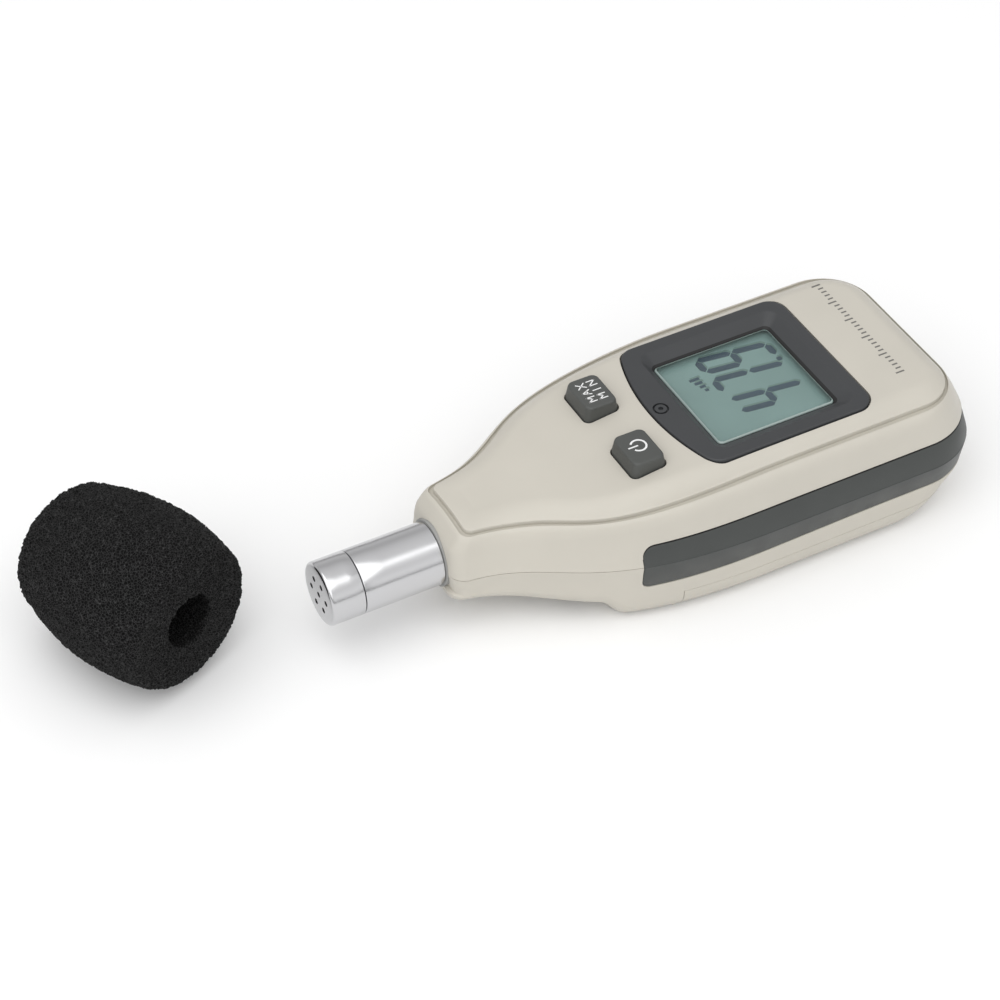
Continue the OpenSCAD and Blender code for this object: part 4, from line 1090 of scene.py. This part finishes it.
def build_foam():
    rng = random.Random(7)
    prof = np.array(foam_profile())
    n = 300  # points round each ring
    a = np.linspace(0, 2 * np.pi, n, endpoint=False)
    rings = [np.c_[r * np.cos(a + 0.5 * k * (a[1] - a[0])), np.full(n, y),
                   r * np.sin(a + 0.5 * k * (a[1] - a[0]))] for k, (r, y) in enumerate(prof)]
    verts, faces = loft(rings)
    # each vertex sinks near a random cell's centre, and by a random bit more
    nv = np.zeros_like(verts)
    tang = np.gradient(prof, axis=0)
    nrm2 = np.c_[tang[:, 1], -tang[:, 0]]
    nrm2 /= np.linalg.norm(nrm2, axis=1)[:, None] + 1e-9
    for k in range(len(prof)):
        s = slice(k * n, (k + 1) * n)
        ang = np.arctan2(verts[s, 2], verts[s, 0])
        nv[s] = np.c_[nrm2[k, 0] * np.cos(ang), np.full(n, nrm2[k, 1]), nrm2[k, 0] * np.sin(ang)]
    centres = []
    for _ in range(CELLS):
        k = rng.randrange(len(verts))
        centres.append(verts[k] + np.array([rng.uniform(-0.3, 0.3) for _ in range(3)]))
    tree = kdtree.KDTree(len(centres))
    for i, c in enumerate(centres):
        tree.insert(c, i)
    tree.balance()
    depth = np.empty(len(verts))
    for i, v in enumerate(verts):
        d = tree.find(v)[2]
        depth[i] = max(0.0, 1 - (d / CELL_R) ** 2) + rng.uniform(0, FRAY)
    x, y, z = verts.T
    wave = 0.1 * np.sin(x * 0.41 + 1.3) * np.sin(y * 0.37) * np.sin(z * 0.45)
    verts = verts + nv * (wave - PIT * depth)[:, None]
    c, s = math.cos(SCREEN_TURN), math.sin(SCREEN_TURN)
    y = verts[:, 1] - SCREEN_L / 2
    x = verts[:, 0]
    out = np.c_[SCREEN_AT[0] + y * c - x * s, SCREEN_AT[1] + y * s + x * c,
                SCREEN_D / 2 + verts[:, 2]]
    out[:, 2] = np.maximum(out[:, 2], 0.02)
    return out, faces


foam = mesh_object("foam_windscreen", *build_foam(), foam_mat, "foam", 180, ["windscreen"], "foam")

# ---------------------------------------------------------------- CAD nodes kept
CARRIED = {
    "lcd_panel": lcd_mat, "lcd_holder": white_mat, "zebra_strip": zebra_mat,
    "circuit_board": board_mat, "controller_chip": chip_mat, "amplifier_chip": chip_mat,
    "clock_crystal": steel_mat, "capacitors": sleeve_mat, "resistors": chip_mat,
    "gain_trimmer": blue_mat, "key_switches": black_mat, "maxmin_plunger": black_mat,
    "power_plunger": black_mat, "mic_capsule": can_mat, "capsule_sleeve": black_mat,
    "mic_leads": wire_mat, "battery_1": cell_mat, "battery_2": cell_mat, "battery_3": cell_mat,
    "battery_springs": steel_mat, "battery_plates": steel_mat, "battery_leads": wire_mat,
    "case_screws": steel_mat, "board_screws": steel_mat,
}
for name, m in CARRIED.items():
    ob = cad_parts[name]
    if ob.material_slots:
        for s in ob.material_slots:
            s.material = m
    else:
        ob.data.materials.append(m)

# ---------------------------------------------------------------- stage
floor_mat = Mat("floor", (0.93, 0.93, 0.93, 1), 0.6)
floor_mat.vary(floor_mat.noise(3, 2), 0.004)
FLOOR = 6  # metres each way
fm = bpy.data.meshes.new("floor")
fm.from_pydata([(-FLOOR, -FLOOR, 0), (FLOOR, -FLOOR, 0), (FLOOR, FLOOR, 0), (-FLOOR, FLOOR, 0)],
               [], [(0, 1, 2, 3)])
floor = bpy.data.objects.new("floor", fm)
scene.collection.objects.link(floor)
fm.materials.append(floor_mat.m)

world = bpy.data.worlds.new("studio")
scene.world = world
world.use_nodes = True
wt = world.node_tree
bg = wt.nodes["Background"]
bg.inputs["Strength"].default_value = 0.95
# bright room, dark at the horizon
wco = wt.nodes.new("ShaderNodeTexCoord")
wxyz = wt.nodes.new("ShaderNodeSeparateXYZ")
wramp = wt.nodes.new("ShaderNodeValToRGB")
wt.links.new(wco.outputs["Generated"], wxyz.inputs[0])
wt.links.new(wxyz.outputs["Z"], wramp.inputs["Fac"])
wt.links.new(wramp.outputs["Color"], bg.inputs["Color"])
we = wramp.color_ramp.elements
for pos, g in ((0.035, 0.02), (0.06, 0.5), (0.25, 0.8), (0.6, 0.6)):
    we.new(pos).color = (g, g, g, 1)
we[0].color = (0.02, 0.02, 0.02, 1)
we[-1].color = (1, 1, 1, 1)


def softbox(name, at, aim, size, power):
    """Rectangular area light at a place, facing another; metres and watts."""
    l = bpy.data.lights.new(name, "AREA")
    l.shape = "RECTANGLE"
    l.size, l.size_y = size
    l.energy = power
    o = bpy.data.objects.new(name, l)
    scene.collection.objects.link(o)
    o.location = at
    o.rotation_euler = (Vector(at) - Vector(aim)).to_track_quat("Z", "Y").to_euler()


middle = (0.0, 0.03, 0.01)
softbox("key_light", (-0.4, 0.55, 1.0), middle, (1.8, 1.8), 11.5)
softbox("fill_light", (-0.9, -0.4, 0.6), middle, (1.2, 1.2), 1.6)

# camera: azimuth and elevation of the view, and its place in metres
az, el = math.radians(241.65), math.radians(43.38)
CAMERA_AT = (-0.37962, 0.31161 - REST_Y * MM, 0.43158)
back = Vector((math.sin(az) * math.cos(el), -math.cos(az) * math.cos(el), math.sin(el)))
right = Vector((math.cos(az), math.sin(az), 0))
up = back.cross(right)
cam_data = bpy.data.cameras.new("camera")
cam_data.sensor_width = 36
cam_data.lens = 102.64
cam = bpy.data.objects.new("camera", cam_data)
scene.collection.objects.link(cam)
turn = Matrix((right, up, back)).transposed().to_4x4()
cam.matrix_world = Matrix.Translation(CAMERA_AT) @ turn
scene.camera = cam
